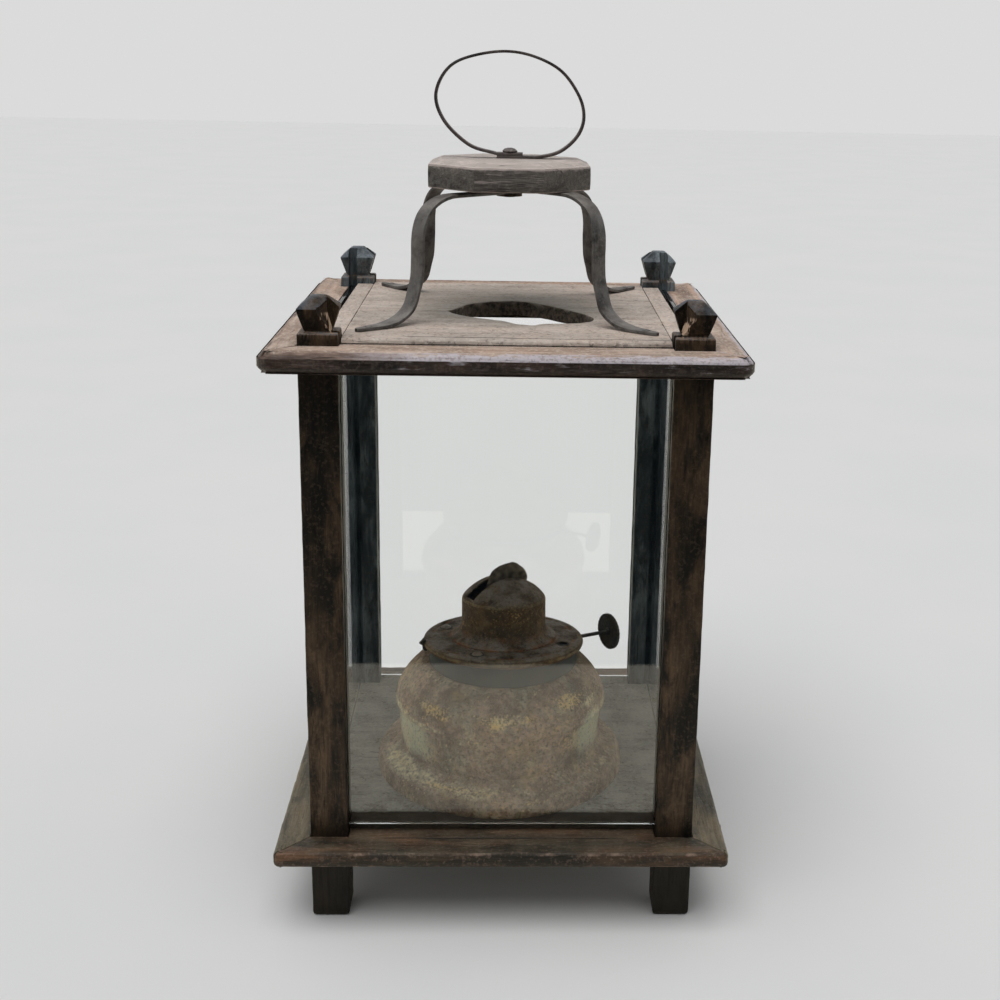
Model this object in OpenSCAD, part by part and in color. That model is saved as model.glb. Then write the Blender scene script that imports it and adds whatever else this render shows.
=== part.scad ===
// Cage lantern: a flat-wick oil lamp inside a square wooden cage with four
// sliding glass panes, a roof with a smoke hole and an iron carrying handle.
// The origin is the middle of the square that the four feet stand on.

/* [Frame] */
// Side of the square base and top frames, over their edges
frame_w = 240; // [228:1:260]
// Side of a square post
post_w = 20; // [18:0.5:24]
// Distance of a post's axis from the middle planes
post_at = 92.4; // [88:0.2:96]
// Height of the feet under the base frame
foot_h = 41.2; // [20:0.1:80]
// Thickness of the base rails
base_t = 7.4; // [6:0.1:12]
// Width of the base rails
base_rail_w = 38; // [36:0.5:50]
// Thickness of the floor board
floor_t = 4.9; // [3:0.1:8]
// Clear height between the base frame and the top frame
cage_h = 257.1; // [220:0.1:300]
// Thickness of the top rails
top_t = 9.8; // [8:0.1:14]
// Rounding of the top rails' upper outer edge
top_round = 4.2; // [2:0.1:5]
// Rounding of the base rails' outer edges
base_round = 1.2; // [0.5:0.1:2.5]
// Rounding of the top frame's corners, seen from above
top_corner = 7; // [5:0.5:12]
// Rounding of the base frame's corners, seen from above
base_corner = 3; // [1:0.5:8]

/* [Roof] */
// Thickness of the roof boards
roof_t = 8.4; // [6:0.1:12]
// How far the roof boards stand above the top frame
roof_proud = 2; // [0.5:0.1:4]
// Width of the slot for the glass between roof and top frame
slot_w = 5.5; // [4.5:0.1:6]
// Length of the smoke hole from left to right
smoke_l = 81; // [60:1:90]
// Width of the smoke hole from front to back
smoke_w = 77; // [60:1:84]
// Sideways offset of the smoke hole
smoke_x = 7; // [0:0.5:12]
// Width of the battens under the roof boards
batten_w = 16; // [10:0.5:18]
// Thickness of the battens
batten_t = 8; // [5:0.5:12]

/* [Finials] */
// Height of the square plinth on top of a post
plinth_h = 5.7; // [4:0.1:9]
// Side of the square neck above the plinth
neck_w = 12.8; // [10:0.1:16]
// Height from the neck to the widest line
bell_h = 11.4; // [8:0.1:16]
// Height of the low pyramid on top
cap_h = 6.1; // [4:0.1:10]
// Side of the pyramid's blunt tip
tip_w = 7; // [3:0.1:9]
// How much of the front finials' inner corner is left, along the face
chip_at = 10.7; // [9.5:0.1:14]

/* [Glass] */
// Thickness of a glass pane
pane_t = 2.5; // [2:0.1:3.5]
// Width of the grooves that the panes slide in
groove_w = 5; // [4.2:0.1:5.4]
// Wood left between a groove and the post's outer face
groove_in = 4.9; // [4:0.1:6]
// Depth of the grooves
groove_d = 6; // [4:0.1:6.4]
// Height of the grooves' lower stops above the base frame
groove_stop = 4.4; // [2:0.1:8]

/* [Handle] */
// Height of the handle plate's underside above the roof
handle_h = 67.3; // [55:0.1:90]
// Distance of the upright part of a strap leg from the middle
leg_at = 66; // [60:0.5:72]
// Distance of a strap's tip from the middle, along its diagonal
foot_at = 107.8; // [104:0.2:110]
// Width of the strap iron
strap_w = 9.2; // [7:0.1:14]
// Thickness of the strap iron
strap_t = 1.8; // [1.2:0.1:3]
// Width of the octagonal plate across its flats
plate_w = 86.6; // [70:0.2:100]
// Thickness of the octagonal plate
plate_t = 15; // [10:0.1:22]
// Height of the bevel round the plate's top
bevel_h = 3; // [1:0.1:5]
// Width of the bevel round the plate's top
bevel_w = 6; // [2:0.1:10]
// Height of the ring over the plate
ring_h = 56; // [50:0.5:70]
// Width of the ring
ring_l = 81; // [70:0.5:96]
// Width of the ring's strap
ring_strap_w = 8; // [6:0.1:10]
// Thickness of the ring's strap
ring_strap_t = 1.5; // [1:0.1:2.2]
// Radius of the ring rivet's shank
rivet_r = 2.4; // [1.5:0.1:3]

/* [Lamp] */
// Gap between the lamp's foot and the front pane
lamp_gap = 2.4; // [1.5:0.1:22]
// Sideways offset of the lamp's axis
lamp_x = -2; // [-6:0.5:6]
// Radius of the flared foot
foot_r = 70.9; // [66:0.1:71.5]
// Height of the flared foot
foot_ring_h = 16.5; // [14:0.1:20]
// Radius of the vessel's wall at its top
drum_r = 58.9; // [54:0.1:62]
// Taper of the vessel's wall, as radius lost at the bottom
drum_taper = 1.3; // [0:0.1:3]
// Height of the crimped lip above the floor
lip_z = 40.5; // [32:0.1:50]
// Height of the vessel's flat top above the floor
font_h = 64.7; // [60:0.1:76]
// Thickness of the sheet metal
tin_t = 1; // [0.8:0.1:1.4]
// Inner radius of the filler collar
collar_r = 30.1; // [29:0.1:33]

/* [Burner] */
// Angle by which the bent burner leans back
burner_lean = 4.5; // [0:0.5:5]
// Sideways offset of the bent burner head from the collar
head_off = 1.3; // [0:0.1:2]
// Height of the head's pivot point above the vessel
head_rise = 6.8; // [6.4:0.1:9]
// Turn of the wick and spindle away from the front
wick_turn = 30; // [0:1:60]
// Outer radius of the round plate's rolled rim
rim_r = 45.9; // [44:0.1:50]
// Radius of the rolled rim's bead
bead_r = 2.5; // [1.6:0.1:2.7]
// Radius of the deflector's cylinder
dome_r = 24; // [22:0.1:26]
// Radius of the deflector's skirt
skirt_r = 30.4; // [30:0.1:31.5]
// Height of the deflector's crown above the plate
dome_h = 35.5; // [32:0.1:42]
// Width of the deflector's slot
slit_w = 7.4; // [6:0.1:9]
// Length of the deflector's slot
slit_l = 44.5; // [36:0.1:45]
// Width of the wick
wick_w = 25.4; // [20:0.1:28]
// Thickness of the wick
wick_t = 2.4; // [1.6:0.1:3]
// Height of the wick's tip above the deflector's crown
wick_up = 7.4; // [4:0.1:12]
// Distance of the thumbwheel from the wick's middle
wheel_at = 69.9; // [64:0.1:74]
// Radius of the thumbwheel
wheel_r = 10.7; // [8:0.1:12]
// Thickness of the thumbwheel
wheel_t = 1.6; // [1:0.1:3]
// Radius of the spindle
spindle_r = 1.1; // [0.8:0.05:1.2]
// Outer radius of the toothed wheels
gear_r = 3.6; // [3:0.1:4]

/* [Hidden] */
$fn = 72;

// Clearances
joint_gap = 0.1;
mitre_gap = 0.1;
nail_gap = 0.05;
pane_gap = 0.2;
pane_end_gap = 0.4;
rest_gap = 0.1;
seat_gap = 0.1;
lap_gap = 0.03;
turn_gap = 0.08;
lining = 0.4;
big = 400;

// Levels of the cage, measured from the soles of the feet
base_top = foot_h + base_t;
floor_top = base_top + floor_t;
frame_under = base_top + cage_h;
frame_top = frame_under + top_t;
roof_top = frame_top + roof_proud;
roof_under = roof_top - roof_t;
post_top = frame_top + plinth_h;

// Distances from the middle planes
frame_half = frame_w / 2;
post_in = post_at - post_w / 2;
post_out = post_at + post_w / 2;
groove_out = post_out - groove_in;
pane_out = groove_out - pane_gap;
pane_in = pane_out - pane_t;
pane_half = post_in + groove_d - pane_end_gap;
roof_half = groove_out - slot_w;
floor_half = pane_in - lining;

// Handle
plate_under = roof_top + handle_h;
plate_top = plate_under + plate_t;
strap_mid = handle_h - strap_t / 2 - rest_gap;
strap_low = strap_t / 2 + rest_gap;
strap_nail_at = (foot_at - 7.8) / sqrt(2);
strap_nail_r = 1.5;
strap_nail_head_r = 3.2;
strap_nail_head_t = 1.3;
strap_nail_l = 14;
ring_lap = 7;
rivet_head_r = 3.8;
rivet_head_h = 2.3;
washer_r = 7;
washer_t = 1.2;

// Nails of the base frame
base_nail_r = 1.1;
base_nail_head_r = 2.1;
base_nail_head_t = 0.9;
base_nail_l = 27.5;
base_nail_side = 4.8;

// Lamp
lamp_y = -(pane_in - foot_r - lamp_gap);
font_z = floor_top + rest_gap;
font_top = floor_top + font_h;
waist_r = drum_r - drum_taper;
lip_r = drum_r + tin_t + joint_gap / 2;
collar_t = 1.4;
collar_lip_w = 1.5;
collar_lip_t = 0.9;
collar_depth = 7;
collar_out = collar_r + collar_t;
sleeve_r = collar_r - seat_gap;
sleeve_in = sleeve_r - tin_t;
sleeve_depth = 8;
shelf_z = font_top - sleeve_depth + 1;

// Burner, in its own leaning frame with its zero at the pivot point
plate_h = 6;
plate_sheet = 1.2;
bead_h = plate_h - bead_r;
throat_r = 28.5;
base_top_r = 40;
base_flare = 0.22;
rivet_ring_r = 36.5;
rivet_turns = [67, 157, 247];
lost_rivet_turn = 337;
burner_rivet_r = 1.3;
burner_rivet_head_r = 3.1;
burner_rivet_head_h = 1.4;
tab_turn = 192;
tab_w = 4.5;
spindle_h = -1.2;
spindle_off = -(wick_t / 2 + gear_r + 0.2);
spindle_back = sleeve_r + 2.5;
tube_wall = 0.8;
tube_in_w = wick_w + 2 * lining;
tube_in_t = wick_t + 2 * lining;
tube_top = plate_h + dome_h - 8;
tube_under = -16;
wick_under = -38;
gear_at = 6;
gear_t = 1.8;
gear_teeth = 10;

// Points on a smooth line through p, with n steps between each two
function blend(a, b, c, d, t) =
  0.5 * (2 * b + (c - a) * t + (2 * a - 5 * b + 4 * c - d) * t * t + (3 * b - a - 3 * c + d) * t * t * t);
function curve(p, n) = [
  for (i = [0 : len(p) - 2], k = [0 : n - 1])
    blend(p[max(i - 1, 0)], p[i], p[i + 1], p[min(i + 2, len(p) - 1)], k / n),
  p[len(p) - 1]];

// Outline of a strip of thickness t along the line c
function along(c, i) =
  let (v = c[min(i + 1, len(c) - 1)] - c[max(i - 1, 0)]) v / norm(v);
function shift(c, i, d) = c[i] + d * [-along(c, i)[1], along(c, i)[0]];
function strip(c, t) = concat(
  [for (i = [0 : len(c) - 1]) shift(c, i, t / 2)],
  [for (i = [len(c) - 1 : -1 : 0]) shift(c, i, -t / 2)]);

// Middle line of a strap arch, from one foot over the top to the other
function leg_line(top) = [
  [foot_at, strap_low], [foot_at - 10, strap_low], [foot_at - 19, strap_low + 0.3],
  [leg_at + 14, strap_low + 2.4], [leg_at + 6.5, 8.7], [leg_at + 3, 17.5], [leg_at + 1, 24],
  [leg_at + 0.2, top - 32], [leg_at, top - 20], [leg_at - 2, top - 12.2],
  [leg_at - 6, top - 6.4], [leg_at - 12, top - 2.5], [leg_at - 19, top - 0.4], [leg_at - 26, top]];
function arch_line(top) =
  let (leg = curve(leg_line(top), 3))
  concat(leg, [for (i = [len(leg) - 1 : -1 : 0]) [-leg[i][0], leg[i][1]]]);

// Middle line of the ring, from the lower lap round to the upper lap
ring_low = ring_strap_t / 2 + rest_gap;
ring_high = ring_low + ring_strap_t + lap_gap;
ring_a = ring_l / 2;
ring_line = curve([
  [-ring_lap, ring_low], [ring_lap, ring_low], [ring_a * 0.42, ring_low + 0.3],
  [ring_a * 0.68, ring_h * 0.075], [ring_a * 0.9, ring_h * 0.22], [ring_a * 0.98, ring_h * 0.40],
  [ring_a * 0.9, ring_h * 0.61], [ring_a * 0.64, ring_h * 0.84], [ring_a * 0.2, ring_h * 0.975],
  [-ring_a * 0.26, ring_h * 0.985], [-ring_a * 0.76, ring_h * 0.87], [-ring_a * 0.98, ring_h * 0.61],
  [-ring_a * 0.88, ring_h * 0.35], [-ring_a * 0.55, ring_h * 0.125],
  [-ring_lap - 2, ring_high + 0.5], [-ring_lap + 2, ring_high], [ring_lap, ring_high]], 4);

// Profile of the vessel's domed top, from the lip to the flat
dome_line = curve([
  [drum_r + tin_t, lip_z], [drum_r + tin_t + 0.1, lip_z + 3.5], [drum_r, font_h - 16.2],
  [drum_r - 2.1, font_h - 12.2], [drum_r - 4.7, font_h - 8.8], [drum_r - 8.6, font_h - 4.6],
  [drum_r - 11.4, font_h - 1.9], [drum_r - 14.3, font_h - 0.3], [drum_r - 16, font_h]], 3);

// Turned to each side of the square, and to the four corners
module side(turn) { rotate([0, 0, turn]) children(); }
module corner(x, y) { mirror([x > 0 ? 1 : 0, 0, 0]) mirror([0, y > 0 ? 1 : 0, 0]) children(); }

// The burner's leaning frame, and the same turned along the spindle
module head() {
  translate([lamp_x + head_off, lamp_y, font_top + head_rise])
    rotate([-burner_lean, 0, 0]) children();
}
module turned_head() { head() rotate([0, 0, wick_turn]) children(); }
module at_lamp(z) { translate([lamp_x, lamp_y, z]) children(); }

module tube(outer, inner, h) {
  difference() {
    cylinder(r = outer, h = h);
    translate([0, 0, -1]) cylinder(r = inner, h = h + 2);
  }
}

// Cross-section of a rail: x from its inner to its outer edge, y its thickness
module rail_section(w, t, r_top, r_under) {
  square([w - max(r_top, r_under), t]);
  translate([0, r_under]) square([w, t - r_top - r_under]);
  translate([0, r_under]) square([w - r_top, t - r_under]);
  square([w - r_under, t - r_top]);
  translate([w - r_top, t - r_top]) circle(r = r_top);
  translate([w - r_under, r_under]) circle(r = r_under);
}

// Square with rounded corners
module rounded_square(half, r) {
  square([2 * half, 2 * (half - r)], center = true);
  square([2 * (half - r), 2 * half], center = true);
  for (x = [-1, 1], y = [-1, 1]) translate([x * (half - r), y * (half - r)]) circle(r = r);
}

// A mitred rail on the front side
module rail(w, t, z, r_top, r_under, corner_r) {
  intersection() {
    translate([0, 0, z - 1]) linear_extrude(t + 2) rounded_square(frame_half, corner_r);
    translate([-frame_half, -frame_half + w, z])
      rotate([90, 0, 90]) mirror([1, 0, 0]) linear_extrude(frame_w) rail_section(w, t, r_top, r_under);
    translate([0, 0, z - 1]) linear_extrude(t + 2)
      polygon([[0, -mitre_gap], [-frame_half, -frame_half - mitre_gap], [frame_half, -frame_half - mitre_gap]]);
  }
}

// Square holes for the posts
module post_holes() {
  hole = post_w + 2 * joint_gap;
  for (x = [-1, 1], y = [-1, 1])
    translate([x * post_at, y * post_at, frame_top / 2]) cube([hole, hole, big * 2], center = true);
}

// Front nails of the base frame, or their holes
module front_nails(gap) {
  for (x = [-1, 1])
    translate([x * (post_at - base_nail_side), -frame_half, foot_h + base_t / 2]) rotate([-90, 0, 0]) {
      cylinder(r = base_nail_r + gap, h = base_nail_l + gap);
      translate([0, 0, -gap]) cylinder(r = base_nail_head_r + gap, h = base_nail_head_t + 2 * gap);
    }
}

module base_rail(turn) {
  color("#3a3128") side(turn) difference() {
    rail(base_rail_w, base_t, foot_h, base_round, base_round, base_corner);
    post_holes();
    front_nails(nail_gap);
  }
}

module top_rail(turn) {
  color("#7d6c5f") side(turn) difference() {
    rail(frame_half - groove_out, top_t, frame_under, top_round, 2, top_corner);
    post_holes();
  }
}

module base_nails() {
  color("#4a4038") for (turn = [0 : 90 : 270]) side(turn) front_nails(0);
}

// Side view of a post from its sole to the tip of its finial
module post_outline() {
  h = post_w / 2;
  n = neck_w / 2;
  wide = post_top + bell_h;
  polygon([[-h, 0], [h, 0], [h, post_top], [n, post_top], [n, post_top + 0.6], [h, wide], [h, wide + 0.5],
    [tip_w / 2, wide + cap_h], [-tip_w / 2, wide + cap_h], [-h, wide + 0.5], [-h, wide],
    [-n, post_top + 0.6], [-n, post_top], [-h, post_top]]);
}

// A post at the front left; the others are its mirror images
module post(chipped) {
  groove_h = big;
  translate([-post_at, -post_at, 0]) difference() {
    intersection() {
      rotate([90, 0, 0]) linear_extrude(post_w, center = true) post_outline();
      rotate([90, 0, 90]) linear_extrude(post_w, center = true) post_outline();
    }
    translate([post_w / 2 - groove_d, -post_w / 2 + groove_in, base_top + groove_stop])
      cube([post_w, groove_w, groove_h]);
    translate([-post_w / 2 + groove_in, post_w / 2 - groove_d, base_top + groove_stop])
      cube([groove_w, post_w, groove_h]);
    if (chipped)
      translate([chip_at / 2, -chip_at / 2, post_top])
        rotate([0, 0, -45]) translate([0, -post_w, 0]) cube([post_w, 2 * post_w, post_w * 2]);
    translate([post_at, post_at, 0]) {
      front_nails(nail_gap);
      side(-90) front_nails(nail_gap);
    }
  }
}

module corner_post(x, y) { color("#25221d") corner(x, y) post(y < 0); }

module floor_board() {
  color("#4a4739") difference() {
    translate([-floor_half, -floor_half, base_top]) cube([2 * floor_half, 2 * floor_half, floor_t]);
    post_holes();
  }
}

// The smoke hole is an uneven oval
function smoke_wobble(a) = 1 + 0.02 * cos(3 * a + 40) + 0.012 * cos(5 * a - 20);
module smoke_outline() {
  polygon([for (a = [0 : 7.5 : 352.5])
    [smoke_x + smoke_l / 2 * smoke_wobble(a) * cos(a), smoke_w / 2 * smoke_wobble(a) * sin(a)]]);
}

module strap_nail_holes() {
  for (x = [-1, 1], y = [-1, 1])
    translate([x * strap_nail_at, y * strap_nail_at, roof_top + strap_t - strap_nail_l - nail_gap])
      cylinder(r = strap_nail_r + nail_gap, h = strap_nail_l + 5);
}

module roof_board() {
  half = post_in - joint_gap;
  color("#8c8276") difference() {
    translate([-half, -roof_half, roof_under]) cube([2 * half, 2 * roof_half, roof_t]);
    translate([0, 0, roof_under - 1]) linear_extrude(roof_t + 2) smoke_outline();
    strap_nail_holes();
  }
}

module roof_strip(x) {
  l = 2 * (post_in - joint_gap);
  color("#8c7a6a") corner(x, -1)
    translate([-roof_half, -l / 2, roof_under]) cube([roof_half - post_in, l, roof_t]);
}

module batten(y) {
  color("#5d5348") difference() {
    translate([-roof_half, y * strap_nail_at - batten_w / 2, roof_under - batten_t])
      cube([2 * roof_half, batten_w, batten_t]);
    strap_nail_holes();
  }
}

// Each pane stands on the stops at the lower ends of its grooves
module pane(turn) {
  z = base_top + groove_stop + rest_gap;
  color("#c9d3cb", 0.35) side(turn)
    translate([-pane_half, -pane_out, z]) cube([2 * pane_half, pane_t, frame_top - 0.3 - z]);
}

module strap_arch(turn, drop) {
  color("#5b554c") rotate([0, 0, turn]) translate([0, 0, roof_top]) difference() {
    rotate([90, 0, 0]) linear_extrude(strap_w, center = true)
      polygon(strip(arch_line(strap_mid - drop), strap_t));
    translate([0, 0, handle_h / 2]) cylinder(r = rivet_r + joint_gap, h = handle_h);
    for (x = [-1, 1]) translate([x * strap_nail_at * sqrt(2), 0, -1])
      cylinder(r = strap_nail_r + nail_gap, h = strap_t + 2);
  }
}

module strap_nails() {
  color("#4d443c") for (x = [-1, 1], y = [-1, 1])
    translate([x * strap_nail_at, y * strap_nail_at, roof_top + strap_t + rest_gap + joint_gap / 2]) {
      translate([0, 0, -strap_nail_l]) cylinder(r = strap_nail_r, h = strap_nail_l);
      rotate_extrude() intersection() {
        translate([0, -strap_nail_head_r * 1.4]) circle(r = strap_nail_head_r * 1.4 + strap_nail_head_t);
        square([strap_nail_head_r, strap_nail_head_t]);
      }
    }
}

module octagon(w) { rotate(22.5) circle(r = w / 2 / cos(22.5), $fn = 8); }

// The bevel is cut by eight straight sloping cuts
module handle_plate() {
  slope = atan2(bevel_h, bevel_w);
  color("#453c35") translate([0, 0, plate_under]) difference() {
    linear_extrude(plate_t) octagon(plate_w);
    for (turn = [0 : 45 : 315]) rotate([0, 0, turn])
      translate([plate_w / 2, 0, plate_t - bevel_h]) rotate([0, slope - 90, 0])
        translate([0, -plate_w / 2, -plate_w / 4]) mirror([0, 0, 1])
          translate([0, 0, -plate_w]) cube([plate_w / 4, plate_w, plate_w]);
    translate([0, 0, -1]) cylinder(r = rivet_r + joint_gap, h = plate_t + 2);
  }
}

// The shank runs from the head over the ring down to the washer under the straps
ring_top_lap = plate_top + ring_high + ring_strap_t / 2;
washer_top = plate_under - 2 * strap_t - rest_gap - 2 * joint_gap;
module ring_rivet() {
  foot_z = washer_top - washer_t - 1.2;
  color("#4c4640") {
    translate([0, 0, foot_z]) cylinder(r = rivet_r, h = ring_top_lap + rest_gap + 0.5 - foot_z);
    translate([0, 0, foot_z]) cylinder(r = rivet_r + 1.3, h = 1.1);
    translate([0, 0, ring_top_lap + rest_gap]) rotate_extrude() intersection() {
      translate([0, rivet_head_h - rivet_head_r * 1.2]) circle(r = rivet_head_r * 1.2);
      square([rivet_head_r, rivet_head_h]);
    }
  }
}

module rivet_washer() {
  color("#57504a") translate([0, 0, washer_top - washer_t]) tube(washer_r, rivet_r + joint_gap, washer_t);
}

module ring() {
  color("#4f4a45") translate([0, 0, plate_top]) difference() {
    rotate([90, 0, 0]) linear_extrude(ring_strap_w, center = true) polygon(strip(ring_line, ring_strap_t));
    translate([0, 0, -1]) cylinder(r = rivet_r + turn_gap, h = ring_h / 5);
  }
}

// Flared foot of the lamp: a rolled ring, a sloping shoulder and the seat of the drum
module font_foot() {
  top_in = waist_r - tin_t;
  color("#6b6151") at_lamp(font_z) rotate_extrude() polygon([
    [foot_r - 0.3, 0], [foot_r, 1.6], [foot_r - 0.2, 5], [foot_r - 1, 8], [foot_r - 2.2, 9.8],
    [foot_r - 4.5, 11.2], [foot_r - 8, 12.9], [waist_r + 1.4, foot_ring_h - 1.6], [waist_r, foot_ring_h],
    [top_in, foot_ring_h], [top_in, foot_ring_h - 1.6], [foot_r - 8.6, 12.9 - tin_t * 1.3],
    [foot_r - 5.1, 11.2 - tin_t * 1.3], [foot_r - 3.2, 9], [foot_r - 2, 7.4], [foot_r - 1.3, 5],
    [foot_r - 1.1, 1.6], [foot_r - 1.4, 0]]);
}

module font_drum() {
  z0 = foot_ring_h + joint_gap / 2;
  z1 = lip_z + 2.7;
  color("#64594a") at_lamp(font_z) rotate_extrude()
    polygon([[waist_r, z0], [drum_r, z1], [drum_r - tin_t, z1], [waist_r - tin_t, z0]]);
}

module font_dome() {
  n = len(dome_line);
  under = [for (i = [n - 1 : -1 : 0])
    [max(dome_line[i][0] - tin_t * (i < n / 3 ? 1 : 0.75), collar_out), dome_line[i][1] - (i < 2 ? 0 : tin_t)]];
  color("#6d5f4e") at_lamp(font_z - rest_gap) difference() {
    rotate_extrude() polygon(concat(dome_line, [[collar_out + joint_gap / 2, font_h],
      [collar_out + joint_gap / 2, font_h - tin_t]], under));
    translate([0, 0, lip_z - 1]) cylinder(r = drum_r + joint_gap / 2, h = 3.9);
  }
}

module font_bottom() {
  color("#5c5143") at_lamp(font_z + foot_ring_h - 1.4)
    cylinder(r = waist_r - tin_t - joint_gap, h = 1.2);
}

module filler_collar() {
  color("#8a7a55") at_lamp(font_top) {
    translate([0, 0, -collar_depth]) tube(collar_out, collar_r, collar_depth + joint_gap / 2);
    translate([0, 0, joint_gap / 2]) tube(collar_out + collar_lip_w, collar_r, collar_lip_t);
  }
}

// Bore of the spindle through the walls of the burner
module spindle_bore(gap) {
  turned_head() translate([-spindle_back - 5, spindle_off, spindle_h]) rotate([0, 90, 0])
    cylinder(r = spindle_r + gap, h = wheel_at + spindle_back + 20);
}

module rivet_bores(turns) {
  for (a = turns) rotate([0, 0, a]) translate([rivet_ring_r, 0, plate_h / 2])
    cylinder(r = burner_rivet_r + nail_gap, h = plate_h, center = true);
}

// The cone stands on the vessel, the sleeve pushes into the collar
module burner_base() {
  seat = font_top + 0.2;
  under = plate_h - plate_sheet;
  drop = 16;
  color("#5f5238") difference() {
    union() {
      difference() {
        head() rotate_extrude() polygon([
          [base_top_r, under], [base_top_r + base_flare * drop, under - drop],
          [base_top_r + base_flare * drop - tin_t, under - drop], [base_top_r - tin_t, under - tin_t],
          [throat_r, under - tin_t], [throat_r, under]]);
        at_lamp(seat - big) cylinder(r = big / 2, h = big);
      }
      difference() {
        at_lamp(font_top - sleeve_depth) tube(sleeve_r, sleeve_in, sleeve_depth + head_rise + 2 * plate_h);
        head() translate([0, 0, under - tin_t / 2]) cylinder(r = 2 * rim_r, h = 3 * plate_h);
      }
    }
    head() rivet_bores(concat(rivet_turns, [lost_rivet_turn]));
    spindle_bore(turn_gap);
  }
}

// Round plate with a rolled rim
module burner_plate() {
  color("#6a5a43") head() difference() {
    union() {
      translate([0, 0, plate_h - plate_sheet]) tube(rim_r - bead_r, throat_r, plate_sheet);
      translate([0, 0, bead_h]) rotate_extrude() difference() {
        translate([rim_r - bead_r, 0]) circle(r = bead_r);
        translate([rim_r - bead_r, 0]) circle(r = bead_r - tin_t);
        translate([rim_r - 2 * bead_r - 1, -bead_r - 1]) square([bead_r + 1, bead_r + 1]);
      }
    }
    rivet_bores(concat(rivet_turns, [lost_rivet_turn]));
  }
}

module burner_rivets() {
  tail = plate_h - plate_sheet - tin_t;
  color("#75674f") head() for (a = rivet_turns) rotate([0, 0, a]) translate([rivet_ring_r, 0, 0]) {
    translate([0, 0, tail - 0.8]) cylinder(r = burner_rivet_r, h = plate_h - tail + 1.3);
    translate([0, 0, tail - 0.9]) cylinder(r = burner_rivet_r + 0.9, h = 0.85);
    translate([0, 0, plate_h + 0.05]) rotate_extrude() intersection() {
      translate([0, burner_rivet_head_h - burner_rivet_head_r * 1.3]) circle(r = burner_rivet_head_r * 1.3);
      square([burner_rivet_head_r, burner_rivet_head_h]);
    }
  }
}

// Small square tab that sticks out under the rim
module rim_tab() {
  z = bead_h - bead_r - 1.5;
  inner = base_top_r + base_flare * (plate_h - plate_sheet - z) + joint_gap;
  color("#2f2a24") head() rotate([0, 0, tab_turn])
    translate([inner, -tab_w / 2, z]) cube([rim_r + 4 - inner, tab_w, 1.4]);
}

// Flat tube with a shelf that closes the sleeve, vent holes and windows for the toothed wheels
module wick_tube() {
  w = tube_in_w + 2 * tube_wall;
  t = tube_in_t + 2 * tube_wall;
  color("#6b5c42") difference() {
    union() {
      turned_head() translate([-w / 2, -t / 2, tube_under]) cube([w, t, tube_top - tube_under]);
      at_lamp(shelf_z) cylinder(r = sleeve_in - joint_gap, h = 1);
    }
    turned_head() translate([-tube_in_w / 2, -tube_in_t / 2, tube_under - 1])
      cube([tube_in_w, tube_in_t, tube_top - tube_under + 2]);
    turned_head() for (x = [-1, 1]) translate([x * gear_at, spindle_off, spindle_h])
      cube([gear_t + 1, 2 * gear_r + 1.2, 2 * gear_r + 1.2], center = true);
    at_lamp(shelf_z - 1) for (a = [60 : 60 : 360]) rotate([0, 0, a + wick_turn])
      translate([20, 0, 0]) cylinder(r = 3, h = 3);
  }
}

// Deflector: skirt, concave flare, cylinder, rounded shoulder and crown, with a wide slot
module deflector() {
  z = plate_h + 0.05;
  wall = 7.6;
  rise = 22.5;
  outer = curve([
    [skirt_r, 0], [skirt_r - 0.6, 1.1], [dome_r + 2.6, wall * 0.4], [dome_r + 0.8, wall * 0.7],
    [dome_r, wall]], 2);
  crown = curve([
    [dome_r, rise - 0.6], [dome_r - 0.5, rise + 0.7], [dome_r - 1.9, rise + 2.1],
    [dome_r * 0.75, rise + 5.2], [dome_r * 0.55, dome_h - 4.4], [dome_r * 0.36, dome_h - 1.6],
    [dome_r * 0.16, dome_h - 0.2], [0, dome_h]], 2);
  line = concat(outer, crown);
  n = len(line);
  inner = [for (i = [n - 1 : -1 : 0]) [max(line[i][0] - tin_t, 0), line[i][1] - (i > len(outer) ? tin_t : 0)]];
  color("#5a4d3a") turned_head() translate([0, 0, z]) difference() {
    rotate_extrude() polygon(concat(line, inner));
    translate([-slit_l / 2, -slit_w / 2, rise]) cube([slit_l, slit_w, dome_h]);
  }
}

// The wick's charred tip is round and leans to one side
module wick() {
  tip = plate_h + dome_h + wick_up;
  side_h = tip - 12;
  w = wick_w / 2;
  outline = concat([[w, wick_under]], curve([
    [w, side_h], [w + 0.2, tip - 8], [w - 0.4, tip - 5.4], [w - 3.4, tip - 1.5], [w - 7.4, tip],
    [-w + 9.4, tip - 1.3], [-w + 4.4, tip - 5], [-w + 2.8, tip - 7.8], [-w, side_h]], 3), [[-w, wick_under]]);
  color("#4a4032") turned_head() rotate([90, 0, 0]) linear_extrude(wick_t, center = true) polygon(outline);
}

module spindle() {
  color("#2e2a26") turned_head() translate([-spindle_back, spindle_off, spindle_h]) rotate([0, 90, 0])
    cylinder(r = spindle_r, h = spindle_back + wheel_at + wheel_t);
}

module wick_wheels() {
  root = gear_r - 0.9;
  color("#8a7440") turned_head() for (x = [-1, 1])
    translate([x * gear_at, spindle_off, spindle_h]) rotate([0, 90, 0])
      linear_extrude(gear_t, center = true) difference() {
        polygon([for (i = [0 : 2 * gear_teeth - 1])
          (i % 2 == 0 ? gear_r : root) * [cos(180 / gear_teeth * i), sin(180 / gear_teeth * i)]]);
        circle(r = spindle_r + 0.02);
      }
}

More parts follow.
